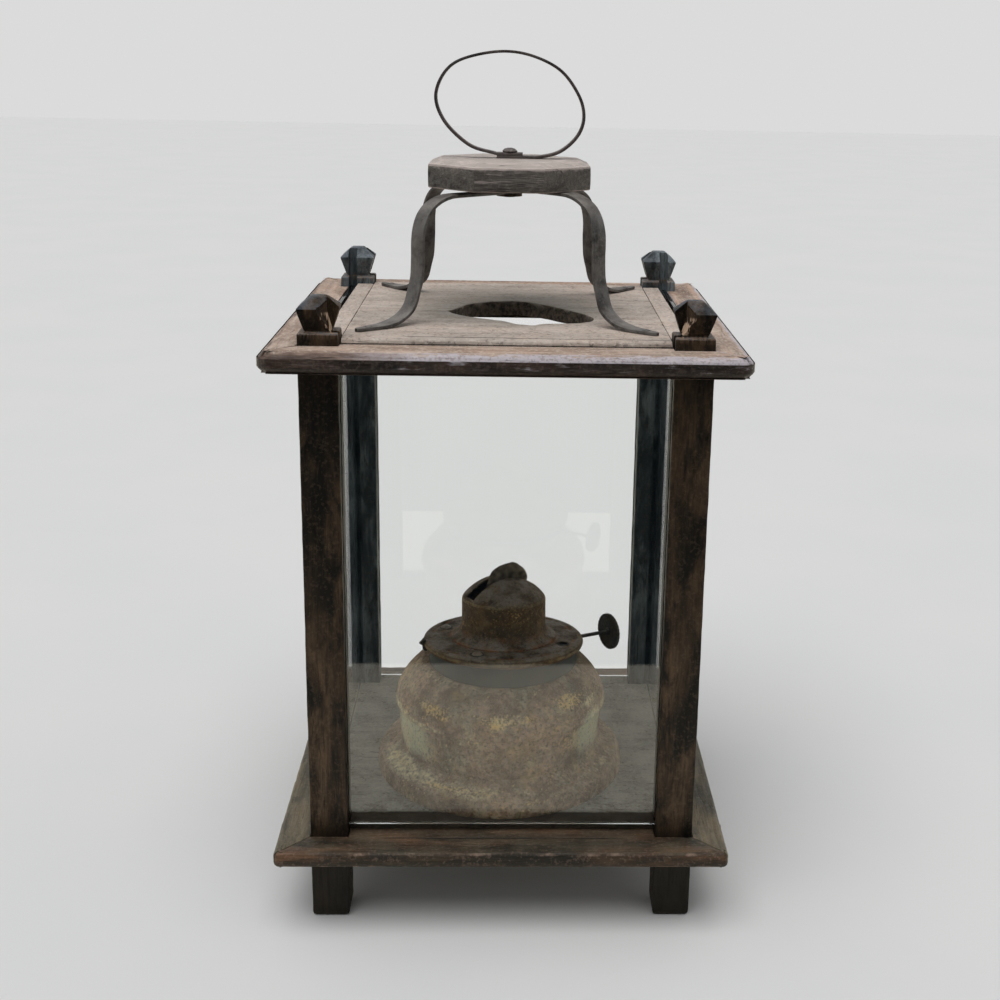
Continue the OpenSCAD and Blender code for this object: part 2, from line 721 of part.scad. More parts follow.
// Milled disc with a small boss
module thumbwheel() {
  notches = 28;
  color("#2b2723") turned_head() translate([wheel_at, spindle_off, spindle_h]) rotate([0, 90, 0])
    difference() {
      union() {
        translate([0, 0, -wheel_t / 2]) cylinder(r = wheel_r, h = wheel_t);
        translate([0, 0, -wheel_t / 2 - 1.2]) cylinder(r = spindle_r + 1.2, h = wheel_t + 1.2);
      }
      translate([0, 0, -wheel_t * 2]) cylinder(r = spindle_r + 0.02, h = wheel_t * 4);
      for (i = [0 : notches - 1]) rotate([0, 0, 360 / notches * i])
        translate([wheel_r + 0.25, 0, -wheel_t]) cylinder(r = 0.55, h = 2 * wheel_t, $fn = 16);
    }
}

base_rail(0);  // base_rail_front
base_rail(180);  // base_rail_back
base_rail(-90);  // base_rail_left
base_rail(90);  // base_rail_right
corner_post(-1, -1);  // post_front_left
corner_post(1, -1);  // post_front_right
corner_post(-1, 1);  // post_back_left
corner_post(1, 1);  // post_back_right
top_rail(0);  // top_rail_front
top_rail(180);  // top_rail_back
top_rail(-90);  // top_rail_left
top_rail(90);  // top_rail_right
floor_board();
roof_board();
roof_strip(-1);  // roof_strip_left
roof_strip(1);  // roof_strip_right
batten(-1);  // batten_front
batten(1);  // batten_back
base_nails();
pane(0);  // pane_front
pane(180);  // pane_back
pane(-90);  // pane_left
pane(90);  // pane_right
strap_arch(-45, 0);  // strap_arch_upper
strap_arch(45, strap_t + joint_gap);  // strap_arch_lower
strap_nails();
handle_plate();
ring_rivet();
rivet_washer();
ring();
font_foot();
font_drum();
font_dome();
font_bottom();
filler_collar();
burner_base();
burner_plate();
burner_rivets();
rim_tab();
wick_tube();
deflector();
wick();
spindle();
wick_wheels();
thumbwheel();
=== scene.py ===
"""An old cage lantern with a flat-wick oil lamp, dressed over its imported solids.

All sizes are in mm and turn into metres when a piece is made. X is to the right, Y away, Z up.
"""
import math

import bmesh
import bpy
from mathutils import Matrix, Vector, geometry, noise


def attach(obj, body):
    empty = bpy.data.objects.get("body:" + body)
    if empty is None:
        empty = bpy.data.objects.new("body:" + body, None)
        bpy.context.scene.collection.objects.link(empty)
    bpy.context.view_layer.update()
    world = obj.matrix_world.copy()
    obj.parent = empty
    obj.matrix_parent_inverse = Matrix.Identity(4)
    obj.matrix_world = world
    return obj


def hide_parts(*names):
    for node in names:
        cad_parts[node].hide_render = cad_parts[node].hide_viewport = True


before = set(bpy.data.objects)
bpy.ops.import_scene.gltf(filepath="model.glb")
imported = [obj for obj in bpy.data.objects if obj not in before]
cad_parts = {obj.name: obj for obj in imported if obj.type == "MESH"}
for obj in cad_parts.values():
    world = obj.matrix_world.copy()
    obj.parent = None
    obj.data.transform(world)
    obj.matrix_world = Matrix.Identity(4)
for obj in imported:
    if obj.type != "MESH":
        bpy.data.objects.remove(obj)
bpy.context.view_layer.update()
MM = 0.001

# Cage
HALF = 120.0
POST_AT = 92.4
BASE_Z = (41.2, 48.6)
TOP_Z = (305.7, 315.5)
RAIL_DROP = 1.1
BASE_RAIL = (82.0, 3.0)
TOP_RAIL = (97.5, 7.0)
POST_HOLE = (82.3, 102.5)
FLOOR_TOP = 53.5
ROOF_Z = (309.1, 317.5)
POST_TOP = 321.2
GROOVE = (-5.1, -0.1)
GROOVE_BOTTOM = 4.0
GROOVE_STOP = 53.0
BOARD_X = 82.3
ROOF_HALF = 92.0
FLOOR_HALF = 94.4
FLOOR_NOTCH = 82.25
PANE = (94.8, 97.3)
PANE_HALF = 88.0
PANE_Z = (53.1, 315.2)

# Handle
STRAP_W = 9.2
STRAP_T = 1.8
PLATE_W = 86.6
PLATE_Z = (384.8, 399.8)
RING_W = 8.0
RING_T = 1.5
STRAP_NAIL_OUT = 100.0
RIVET_FOOT = 379.2

# Lamp and its leaning burner head
LAMP = (-2.0, -21.5)
FONT_Z = 53.6
HEAD = (-0.7, -21.5, 125.0)
LEAN = math.radians(4.5)
WICK_TURN = math.radians(30)
RIVET_CIRCLE = 36.5
RIVET_TURNS = (67, 157, 247, 337)
DOME_SEAT = 6.05
SLOT_HALF = 22.25
SLOT_BACK, SLOT_FRONT = 4.5, 3.7
SLOT_MIDDLE = 30.0
SLOT_FLOOR = 1.4
WICK_FOOT = -38


# Mesh making

def rough(p, size, seed=0.0):
    """Smooth noise from about -1 to 1 at a point, with bumps of about the given size in mm."""
    return noise.noise(Vector((p[0] / size + seed, p[1] / size - 1.7 * seed, p[2] / size + 0.6 * seed)))


def make_piece(name, shape, body, material, nodes, sharp=38, marks=None, thick=0.0, cut=None):
    """A new object from a shape in mm, riding on a body, in place of the named solids.

    marks are further named values of the points. cut changes the mesh, and thick makes an open one a sheet.
    """
    mesh = bpy.data.meshes.new(name)
    mesh.from_pydata([Vector(p) * MM for p in shape.points], [], shape.faces)
    for key, values in {"arris": shape.arris, **(marks or {})}.items():
        mesh.attributes.new(key, "FLOAT", "POINT").data.foreach_set("value", values)
    bm = bmesh.new()
    bm.from_mesh(mesh)
    bmesh.ops.remove_doubles(bm, verts=bm.verts, dist=0.00002)
    bmesh.ops.dissolve_degenerate(bm, edges=bm.edges, dist=0.00001)
    if not thick:
        bmesh.ops.recalc_face_normals(bm, faces=bm.faces)
    if cut:
        cut(bm)
    bm.to_mesh(mesh)
    bm.free()
    mesh.shade_smooth()
    mesh.set_sharp_from_angle(angle=math.radians(sharp))
    piece = bpy.data.objects.new(name, mesh)
    bpy.context.scene.collection.objects.link(piece)
    mesh.materials.append(material)
    if thick:
        sheet = piece.modifiers.new("sheet", "SOLIDIFY")
        sheet.thickness = thick * MM
        sheet.offset = -1.0
    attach(piece, body)
    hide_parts(*nodes)


class Shape:
    """Points, faces and edge values that several runs of making add to."""

    def __init__(self):
        self.points, self.faces, self.arris = [], [], []

    def rings(self, rings, arris=None, loop=False):
        """Joins rings of equal length with quads; loop joins the last ring to the first."""
        base, n = len(self.points), len(rings[0])
        for k, ring in enumerate(rings):
            self.points += ring
            self.arris += arris[k] if arris else [0.0] * n
        count = len(rings) if loop else len(rings) - 1
        for k in range(count):
            a, b = base + k * n, base + (k + 1) % len(rings) * n
            for i in range(n):
                j = (i + 1) % n
                self.faces.append((a + i, a + j, b + j, b + i))
        return base

    def cap(self, base, n, flip=False):
        """Closes a ring with a fan round its middle."""
        ring = self.points[base:base + n]
        middle = [sum(p[a] for p in ring) / n for a in range(3)]
        self.points.append(tuple(middle))
        self.arris.append(0.0)
        m = len(self.points) - 1
        for i in range(n):
            j = (i + 1) % n
            self.faces.append((base + j, base + i, m) if flip else (base + i, base + j, m))

    def tube(self, rings, arris=None):
        """Joins rings and closes both ends."""
        base, n = self.rings(rings, arris), len(rings[0])
        self.cap(base, n, flip=True)
        self.cap(base + (len(rings) - 1) * n, n)

    def moved(self, change):
        """Moves every point by a function of it."""
        self.points = [change(p) for p in self.points]
        return self


def offset_at(normal_a, normal_b, da, db):
    """The step that brings a corner inward by da from one edge and db from the next."""
    cross = normal_a[0] * normal_b[1] - normal_a[1] * normal_b[0]
    if abs(cross) < 0.05:
        return normal_a[0] * da, normal_a[1] * da
    return ((da * normal_b[1] - db * normal_a[1]) / cross, (db * normal_a[0] - da * normal_b[0]) / cross)


def edge_walk(outline, radii, step):
    """Points along a closed outline, each with the normals and roundings of the edges it joins."""
    n = len(outline)
    ways = []
    for i in range(n):
        a, b = outline[i], outline[(i + 1) % n]
        length = math.hypot(b[0] - a[0], b[1] - a[1])
        ways.append((a, b, length, (-(b[1] - a[1]) / length, (b[0] - a[0]) / length)))
    walk = []
    for i, (a, b, length, normal) in enumerate(ways):
        count = max(1, round(length / step))
        for k in range(count):
            t = k / count
            before = (i - 1) % n if k == 0 else i
            walk.append((a[0] + (b[0] - a[0]) * t, a[1] + (b[1] - a[1]) * t,
                         ways[before][3], normal, radii[before], radii[i]))
    return walk


def board(outline, z0, z1, top, under, holes=(), step=3.0, wear=0.25, chips=0.8, seed=0.0, bevel=None):
    """A board with worn, rounded edges. The outline runs counter-clockwise and holes clockwise."""
    shape = Shape()
    arc = 3
    n = len(outline)
    under_rings, top_rings = [], []
    top = list(top) if isinstance(top, (list, tuple)) else [top] * n
    under = list(under) if isinstance(under, (list, tuple)) else [under] * n
    loops = [(outline, top, under)] + [(h, [0.5] * len(h), [0.5] * len(h)) for h in holes]
    for line, tops, unders in loops:
        walk_top = edge_walk(line, tops, step)
        walk_under = edge_walk(line, unders, step)
        levels = []
        turn = [math.pi / 2 * j / arc for j in range(arc + 1)]
        levels.append((walk_under, 0, 0, 2.0, 0.0, 0.0))
        levels += [(walk_under, 0, 1 - math.sin(a), 0, 1 - math.cos(a), 0.3 + 0.7 * math.sin(2 * a))
                   for a in turn]
        between = (0.3, 0.5, 0.7) if bevel or z1 - z0 > 6 else (0.5,)
        levels += [(walk_top, 3, 0.0, 0, f, 0.0) for f in between]
        if bevel:
            levels += [(walk_top, 1, 0.0, 0, bevel[1] + 0.5, 0.5), (walk_top, 1, 0.05, 0, bevel[1], 1.0),
                       (walk_top, 1, bevel[0] * 0.06, 0, bevel[1] * 0.78, 1.0),
                       (walk_top, 1, bevel[0] * 0.3, 0, bevel[1] * 0.6, 0.1),
                       (walk_top, 1, bevel[0] * 0.94, 0, bevel[1] * 0.06, 0.7),
                       (walk_top, 1, bevel[0] * 1.08, 0, 0.0, 0.5)]
            levels.append((walk_top, 1, bevel[0], 3.0, 0.0, 0.0))
        else:
            levels += [(walk_top, 2, 1 - math.sin(a), 0, 1 - math.cos(a), 0.3 + 0.7 * math.sin(2 * a))
                       for a in reversed(turn)]
            levels.append((walk_top, 2, 1.0, 2.0, 0.0, 0.0))
        rings, arris = [], []
        for k, (walk, kind, inset, extra, drop, rubbed) in enumerate(levels):
            inner = k in (0, len(levels) - 1)
            ring, edge = [], []
            for x, y, na, nb, ra, rb in walk:
                r = max(ra, rb)
                if kind == 0:
                    z = z0 + r * drop
                elif kind == 1:
                    z = z1 - drop
                elif kind == 3:
                    z = z0 + (z1 - z0 - (bevel[1] if bevel else 0)) * drop
                else:
                    z = z1 - r * drop
                probe = (x, y, z)
                worn = 0.0
                if not inner:
                    worn = wear * (0.55 + 0.6 * rough(probe, 14, seed) + 0.3 * rough(probe, 4, seed + 3))
                    worn += chips * max(0.0, rough(probe, 6, seed + 9) - 0.42) * 2.2
                    worn = max(0.0, worn) * (0.35 if kind == 3 else 1.0)
                if kind == 1:
                    da = db = inset + extra + worn
                else:
                    da, db = ra * inset + extra + worn, rb * inset + extra + worn
                dx, dy = offset_at(na, nb, da, db)
                if kind == 0:
                    z += 0 if inner else worn * 0.3
                elif not inner and kind != 3:
                    z -= worn * 0.35
                ring.append((x + dx, y + dy, z))
                edge.append(rubbed)
            rings.append(ring)
            arris.append(edge)
        base, size = shape.rings(rings, arris), len(walk_top)
        under_rings.append(range(base, base + size))
        top_rings.append(range(base + (len(levels) - 1) * size, base + len(levels) * size))
    for group in (under_rings, top_rings):
        index = [i for ring in group for i in ring]
        flat = [[Vector((shape.points[i][0], shape.points[i][1], 0)) for i in ring] for ring in group]
        shape.faces += [tuple(index[k] for k in corner) for corner in geometry.tessellate_polygon(flat)]
    return shape


def lathe(profile, segments=128, closed=True, wobble=0.0, size=20.0, seed=0.0, arris=None):
    """Turns (radius, height) points round the Z axis, a little out of true."""
    rings, edges = [], []
    for k, (r, z) in enumerate(profile):
        ring = []
        for i in range(segments):
            a = 2 * math.pi * i / segments
            p = (r * math.cos(a), r * math.sin(a), z)
            d = wobble * (rough(p, size, seed) + 0.4 * rough(p, size / 3.5, seed + 5)) if r > 0.01 else 0.0
            ring.append(((r + d) * math.cos(a), (r + d) * math.sin(a), z + 0.3 * d))
        rings.append(ring)
        edges.append([arris[k] if arris else 0.0] * segments)
    shape = Shape()
    shape.rings(rings, edges, loop=closed)
    return shape


def sheet_section(line, thick):
    """The closed section of a metal sheet whose outer face follows a line of (radius, height)."""
    inner = []
    for i, (r, z) in enumerate(line):
        a, b = line[max(i - 1, 0)], line[min(i + 1, len(line) - 1)]
        size = math.hypot(b[0] - a[0], b[1] - a[1])
        inner.append((max(0.0, r - (b[1] - a[1]) / size * thick), z + (b[0] - a[0]) / size * thick))
    return line + inner[::-1]


def splashes(points, places):
    """How deep the lamp's points lie in soft round places, given by turn from the front, radius and height."""
    values = []
    for x, y, z in points:
        x, y = x - LAMP[0], y - LAMP[1]
        turn, r = math.degrees(math.atan2(x, -y)), math.hypot(x, y)
        deepest = 0.0
        for turn_at, r_at, z_at, across, along, strength in places:
            a = math.radians((turn - turn_at + 180) % 360 - 180) * r / across
            b = math.hypot(r - r_at, z - z_at) / along
            deepest = max(deepest, strength * (1 - a * a - b * b))
        values.append(deepest)
    return values


def dent(points, dents):
    """Pushes the lamp's points inward round places given by turn from the front, height, size and depth."""
    moved = []
    for x, y, z in points:
        dx, dy = x - LAMP[0], y - LAMP[1]
        turn, r = math.degrees(math.atan2(dx, -dy)), math.hypot(dx, dy) or 1.0
        push = 0.0
        for turn_at, z_at, size, depth in dents:
            a = math.radians((turn - turn_at + 180) % 360 - 180) * r
            push += depth * math.exp(-(a * a + (z - z_at) ** 2) / size ** 2)
        moved.append((x - dx / r * push, y - dy / r * push, z))
    return moved


def smooth_line(points, steps):
    """A Catmull-Rom line through points of any dimension."""
    out = []
    last = len(points) - 1
    for i in range(last):
        a, b, c, d = (points[max(i - 1, 0)], points[i], points[i + 1], points[min(i + 2, last)])
        for k in range(steps):
            t = k / steps
            out.append(tuple(
                0.5 * (2 * q + (r - p) * t + (2 * p - 5 * q + 4 * r - s) * t * t
                       + (3 * q - p - 3 * r + s) * t ** 3)
                for p, q, r, s in zip(a, b, c, d)))
    out.append(tuple(points[-1]))
    return out


def in_head(p):
    """From the burner's leaning frame to the cage's frame."""
    x, y, h = p
    return (HEAD[0] + x, HEAD[1] + y * math.cos(LEAN) + h * math.sin(LEAN),
            HEAD[2] - y * math.sin(LEAN) + h * math.cos(LEAN))


def along_spindle(p):
    """From the frame turned along the spindle to the burner's leaning frame."""
    c, s = math.cos(WICK_TURN), math.sin(WICK_TURN)
    return (p[0] * c - p[1] * s, p[0] * s + p[1] * c, p[2])


def turned(p, degrees):
    """A point turned about the upright through the middle."""
    c, s = math.cos(math.radians(degrees)), math.sin(math.radians(degrees))
    return p[0] * c - p[1] * s, p[0] * s + p[1] * c, p[2]


def at_lamp(z):
    """From the oil vessel's own axis and a height to the cage's frame."""
    return lambda p: (p[0] + LAMP[0], p[1] + LAMP[1], p[2] + z)


# Node groups

def tone(r, g, b):
    """A colour given in screen values, as the linear colour that a socket takes."""
    linear = [(c / 255 / 12.92) if c <= 10 else ((c / 255 + 0.055) / 1.055) ** 2.4 for c in (r, g, b)]
    return (*linear, 1.0)


class Tree:
    """Short calls for building a node tree."""

    def __init__(self, tree):
        self.tree = tree

    def node(self, kind, inputs=(), **settings):
        made = self.tree.nodes.new(kind)
        for key, value in settings.items():
            setattr(made, key, value)
        for key, value in dict(inputs).items():
            self.join(value, made.inputs[key])
        return made

    def noise(self, where, scale, detail=4.0, roughness=0.55, distortion=0.0):
        given = {"Vector": where, "Scale": scale, "Detail": detail, "Roughness": roughness,
                 "Distortion": distortion}
        return self.node("ShaderNodeTexNoise", given).outputs["Fac"]

    def maths(self, operation, a, b=0.0):
        return self.node("ShaderNodeMath", {0: a, 1: b}, operation=operation).outputs[0]

    def times(self, a, b):
        return self.maths("MULTIPLY", a, b)

    def plus(self, a, b):
        return self.maths("ADD", a, b)

    def minus(self, a, b):
        return self.maths("SUBTRACT", a, b)

    def vector(self, operation, a, b=(0.0, 0.0, 0.0)):
        return self.node("ShaderNodeVectorMath", {0: a, 1: b}, operation=operation).outputs[0]

    def where(self):
        """The place on the object, in metres."""
        return self.node("ShaderNodeTexCoord").outputs["Object"]

    def parts(self, vector):
        return self.node("ShaderNodeSeparateXYZ", {0: vector}).outputs

    def normal(self):
        return self.parts(self.node("ShaderNodeNewGeometry").outputs["Normal"])

    def join(self, value, socket):
        """Links an output to a socket, or sets the socket to a plain value."""
        if isinstance(value, bpy.types.NodeSocket):
            self.tree.links.new(value, socket)
        else:
            socket.default_value = value

    def band(self, value, low, high, out_low=0.0, out_high=1.0):
        """Smoothly maps low..high to out_low..out_high."""
        return self.node("ShaderNodeMapRange", {0: value, 1: low, 2: high, 3: out_low, 4: out_high},
                         interpolation_type="SMOOTHSTEP").outputs[0]

    def mix(self, amount, a, b, blend="MIX"):
        """Mixes two colours, each an output or a tuple of screen values."""
        made = self.tree.nodes.new("ShaderNodeMix")
        made.data_type, made.blend_type = "RGBA", blend
        self.join(amount, made.inputs[0])
        for index, value in ((6, a), (7, b)):
            self.join(tone(*value) if isinstance(value, tuple) else value, made.inputs[index])
        return made.outputs[2]

    def over(self, under, *layers):
        """Lays colours over a colour; each layer is a mask, its strength and a colour."""
        for mask, strength, top in layers:
            under = self.mix(self.times(mask, strength), under, top)
        return under

    def group(self, name, **inputs):
        made = self.tree.nodes.new("ShaderNodeGroup")
        made.node_tree = GROUPS[name]
        for key, value in inputs.items():
            self.join(value, made.inputs[key])
        return made.outputs

    def patches(self, scale, amount, softness, **more):
        return self.group("patches", Scale=scale, Amount=amount, Softness=softness, **more)["Mask"]


GROUPS = {}


def new_group(name, inputs, outputs):
    """An empty shader group; inputs are name: (kind, value) and outputs are name: kind."""
    tree = bpy.data.node_groups.new(name, "ShaderNodeTree")
    kinds = {"value": "NodeSocketFloat", "vector": "NodeSocketVector", "colour": "NodeSocketColor"}
    for key, (kind, value) in inputs.items():
        socket = tree.interface.new_socket(key, in_out="INPUT", socket_type=kinds[kind])
        socket.default_value = value
    for key, kind in outputs.items():
        tree.interface.new_socket(key, in_out="OUTPUT", socket_type=kinds[kind])
    t = Tree(tree)
    GROUPS[name] = tree
    return t, t.node("NodeGroupInput").outputs, t.node("NodeGroupOutput").inputs


def grain_group():
    """Long fibres, pores, hairline cracks and broad bands of a piece of wood."""
    t, given, out = new_group(
        "wood grain", {"Stretch": ("vector", (1, 1, 0.05)), "Seed": ("vector", (0, 0, 0))},
        {"Bands": "value", "Fibres": "value", "Pores": "value", "Cracks": "value", "Height": "value"})
    where = t.where()
    shifted = t.vector("ADD", where, given["Seed"])
    warp = t.node("ShaderNodeTexNoise", {"Vector": shifted, "Scale": 18.0, "Detail": 2.0}).outputs["Color"]
    bent = t.node("ShaderNodeVectorMath", {0: warp, 1: (0.004, 0.004, 0.004), 2: shifted},
                  operation="MULTIPLY_ADD").outputs[0]
    drawn = t.vector("MULTIPLY", bent, given["Stretch"])
    bands = t.band(t.noise(drawn, 170.0, 4.0, 0.55, 0.6), 0.34, 0.66)
    fibres = t.band(t.noise(drawn, 780.0, 6.0, 0.7), 0.34, 0.66)
    pores = t.band(t.noise(drawn, 1500.0, 3.0, 0.55), 0.4, 0.3)
    line = t.maths("ABSOLUTE", t.minus(t.noise(drawn, 120.0, 2.0, 0.5, 0.3), 0.5))
    broken = t.band(t.noise(shifted, 42.0, 4.0, 0.6), 0.5, 0.6)
    cracks = t.times(t.band(line, 0.012, 0.0), broken)
    height = t.minus(t.minus(fibres, pores), t.times(cracks, 1.5))
    for key, value in (("Bands", bands), ("Fibres", fibres), ("Pores", pores), ("Cracks", cracks),
                       ("Height", height)):
        t.tree.links.new(value, out[key])


def patches_group():
    """Soft-edged patches over a surface, longer one way where they are stretched."""
    t, given, out = new_group(
        "patches", {"Stretch": ("vector", (1, 1, 1)), "Scale": ("value", 30.0), "Amount": ("value", 0.5),
                    "Softness": ("value", 0.12), "Detail": ("value", 5.0), "Seed": ("vector", (0, 0, 0))},
        {"Mask": "value"})
    where = t.where()
    shifted = t.vector("ADD", where, given["Seed"])
    drawn = t.vector("MULTIPLY", shifted, given["Stretch"])
    cloud = t.noise(drawn, given["Scale"], given["Detail"], 0.62, 0.3)
    edge = t.node("ShaderNodeMapRange", {0: given["Amount"], 3: 0.72, 4: 0.28}).outputs[0]
    low = t.minus(edge, given["Softness"])
    high = t.plus(edge, given["Softness"])
    t.tree.links.new(t.band(cloud, low, high), out["Mask"])


def arris_group():
    """Where edges are rubbed, from the arris values that the meshes carry."""
    t, given, out = new_group(
        "rubbed edges", {"Amount": ("value", 0.5), "Scale": ("value", 120.0)}, {"Mask": "value"})
    edge = t.node("ShaderNodeAttribute", attribute_name="arris").outputs["Fac"]
    where = t.where()
    broken = t.noise(where, given["Scale"], 5.0, 0.65)
    lifted = t.plus(t.times(edge, given["Amount"]), t.times(broken, 0.6))
    t.tree.links.new(t.band(lifted, 0.46, 0.74), out["Mask"])


def placed_group():
    """Ragged, speckled edges for a stain whose place the mesh carries."""
    t, given, out = new_group(
        "placed stain", {"Place": ("value", 0.0), "Scale": ("value", 90.0), "Specks": ("value", 0.8)},
        {"Mask": "value"})
    where = t.where()
    ragged = t.minus(t.noise(where, given["Scale"], 6.0, 0.68), 0.5)
    speckled = t.minus(t.noise(where, 820.0, 4.0, 0.65), 0.5)
    lifted = t.plus(given["Place"], t.times(ragged, 2.0))
    lifted = t.plus(lifted, t.times(t.times(speckled, 4.5), given["Specks"]))
    t.tree.links.new(t.band(lifted, 0.2, 1.3), out["Mask"])


def dust_group():
    """Dust on the faces that look up."""
    t, given, out = new_group(
        "dust", {"Amount": ("value", 0.5), "Scale": ("value", 60.0), "Even": ("value", 0.0)}, {"Mask": "value"})
    normal = t.node("ShaderNodeNewGeometry").outputs["Normal"]
    up = t.node("ShaderNodeSeparateXYZ", {0: normal}).outputs["Z"]
    where = t.where()
    cloud = t.noise(where, given["Scale"], 6.0, 0.65)
    spread = t.maths("MAXIMUM", t.band(cloud, 0.34, 0.66), given["Even"])
    lying = t.times(t.band(up, 0.35, 0.95), spread)
    t.tree.links.new(t.times(lying, given["Amount"]), out["Mask"])


def rust_group():
    """Fine pitting and blotches of rust on iron and tin."""
    t, given, out = new_group("rust", {"Scale": ("value", 1.0), "Seed": ("vector", (0, 0, 0))},
                              {"Blotches": "value", "Specks": "value", "Height": "value"})
    where = t.where()
    shifted = t.vector("ADD", where, given["Seed"])
    sized = t.node("ShaderNodeVectorMath", {0: shifted, "Scale": given["Scale"]},
                   operation="SCALE").outputs[0]
    blotches = t.band(t.noise(sized, 70.0, 6.0, 0.62, 0.4), 0.38, 0.64)
    specks = t.band(t.noise(sized, 650.0, 4.0, 0.6), 0.52, 0.68)
    pits = t.band(t.noise(sized, 420.0, 6.0, 0.7), 0.3, 0.7)
    t.tree.links.new(blotches, out["Blotches"])
    t.tree.links.new(specks, out["Specks"])
    t.tree.links.new(pits, out["Height"])


for build in (grain_group, patches_group, arris_group, placed_group, dust_group, rust_group):
    build()


# Materials

def new_material(name):
    """An empty material with its tree and its one shader."""
    material = bpy.data.materials.new(name)
    material.use_nodes = True
    material.node_tree.nodes.clear()
    t = Tree(material.node_tree)
    shader = t.node("ShaderNodeBsdfPrincipled")
    output = t.node("ShaderNodeOutputMaterial")
    t.tree.links.new(shader.outputs[0], output.inputs["Surface"])
    return material, t, shader


def finish_with(t, shader, colour, roughness, height, depth):
    """Joins colour, roughness and a bump of the given depth in mm to the shader."""
    t.tree.links.new(colour, shader.inputs["Base Color"])
    t.tree.links.new(roughness, shader.inputs["Roughness"])
    bump = t.node("ShaderNodeBump", {"Height": height, "Distance": depth * MM, "Strength": 0.6})
    t.tree.links.new(bump.outputs["Normal"], shader.inputs["Normal"])


def mark(t, name):
    """A value that the mesh carries at its points."""
    return t.node("ShaderNodeAttribute", attribute_name=name).outputs["Fac"]


def scored(t, where, lines, colour, height):
    """Scribed or split lines along x: each is the place across it, its two ends and its width, in metres."""
    place = t.parts(where)
    for across, start, end, width in lines:
        wander = t.times(t.minus(t.noise(where, 35.0, 5.0, 0.6), 0.5), 0.002)
        away = t.maths("ABSOLUTE", t.minus(t.plus(place["Y"], wander), across))
        along = t.times(t.band(place["X"], start - LINE_END, start + LINE_END),
                        t.band(place["X"], end + LINE_END, end - LINE_END))
        cut = t.times(t.band(away, width, width * 0.25), along)
        colour = t.over(colour, (cut, 0.85, (20, 15, 12)))
        height = t.minus(height, t.times(cut, 2.0))
    return colour, height


def smoked(t, where, side, colour):
    """Grey smoke on the roof round the hole, most of it behind and to the left, and char on its wall."""
    place = t.parts(where)
    level = t.vector("MULTIPLY", t.vector("ADD", where, (-0.006, 0.012, 0.0)), (1.0, 1.0, 0.0))
    from_hole = t.node("ShaderNodeVectorMath", {0: level}, operation="LENGTH").outputs["Value"]
    cloud = t.times(t.minus(t.noise(where, 30.0, 6.0, 0.65), 0.5), 0.05)
    behind = t.minus(t.times(place["Y"], 0.32), t.times(place["X"], 0.16))
    grey = t.band(t.minus(t.plus(from_hole, cloud), behind), 0.08, 0.034)
    colour = t.over(colour, (grey, 0.5, (116, 116, 106)))
    near = t.times(t.band(from_hole, 0.05, 0.042), side)
    char = t.mix(t.band(t.noise(where, 420.0, 5.0, 0.7), 0.35, 0.65), (26, 22, 18), (96, 82, 70))
    return t.mix(near, colour, char)


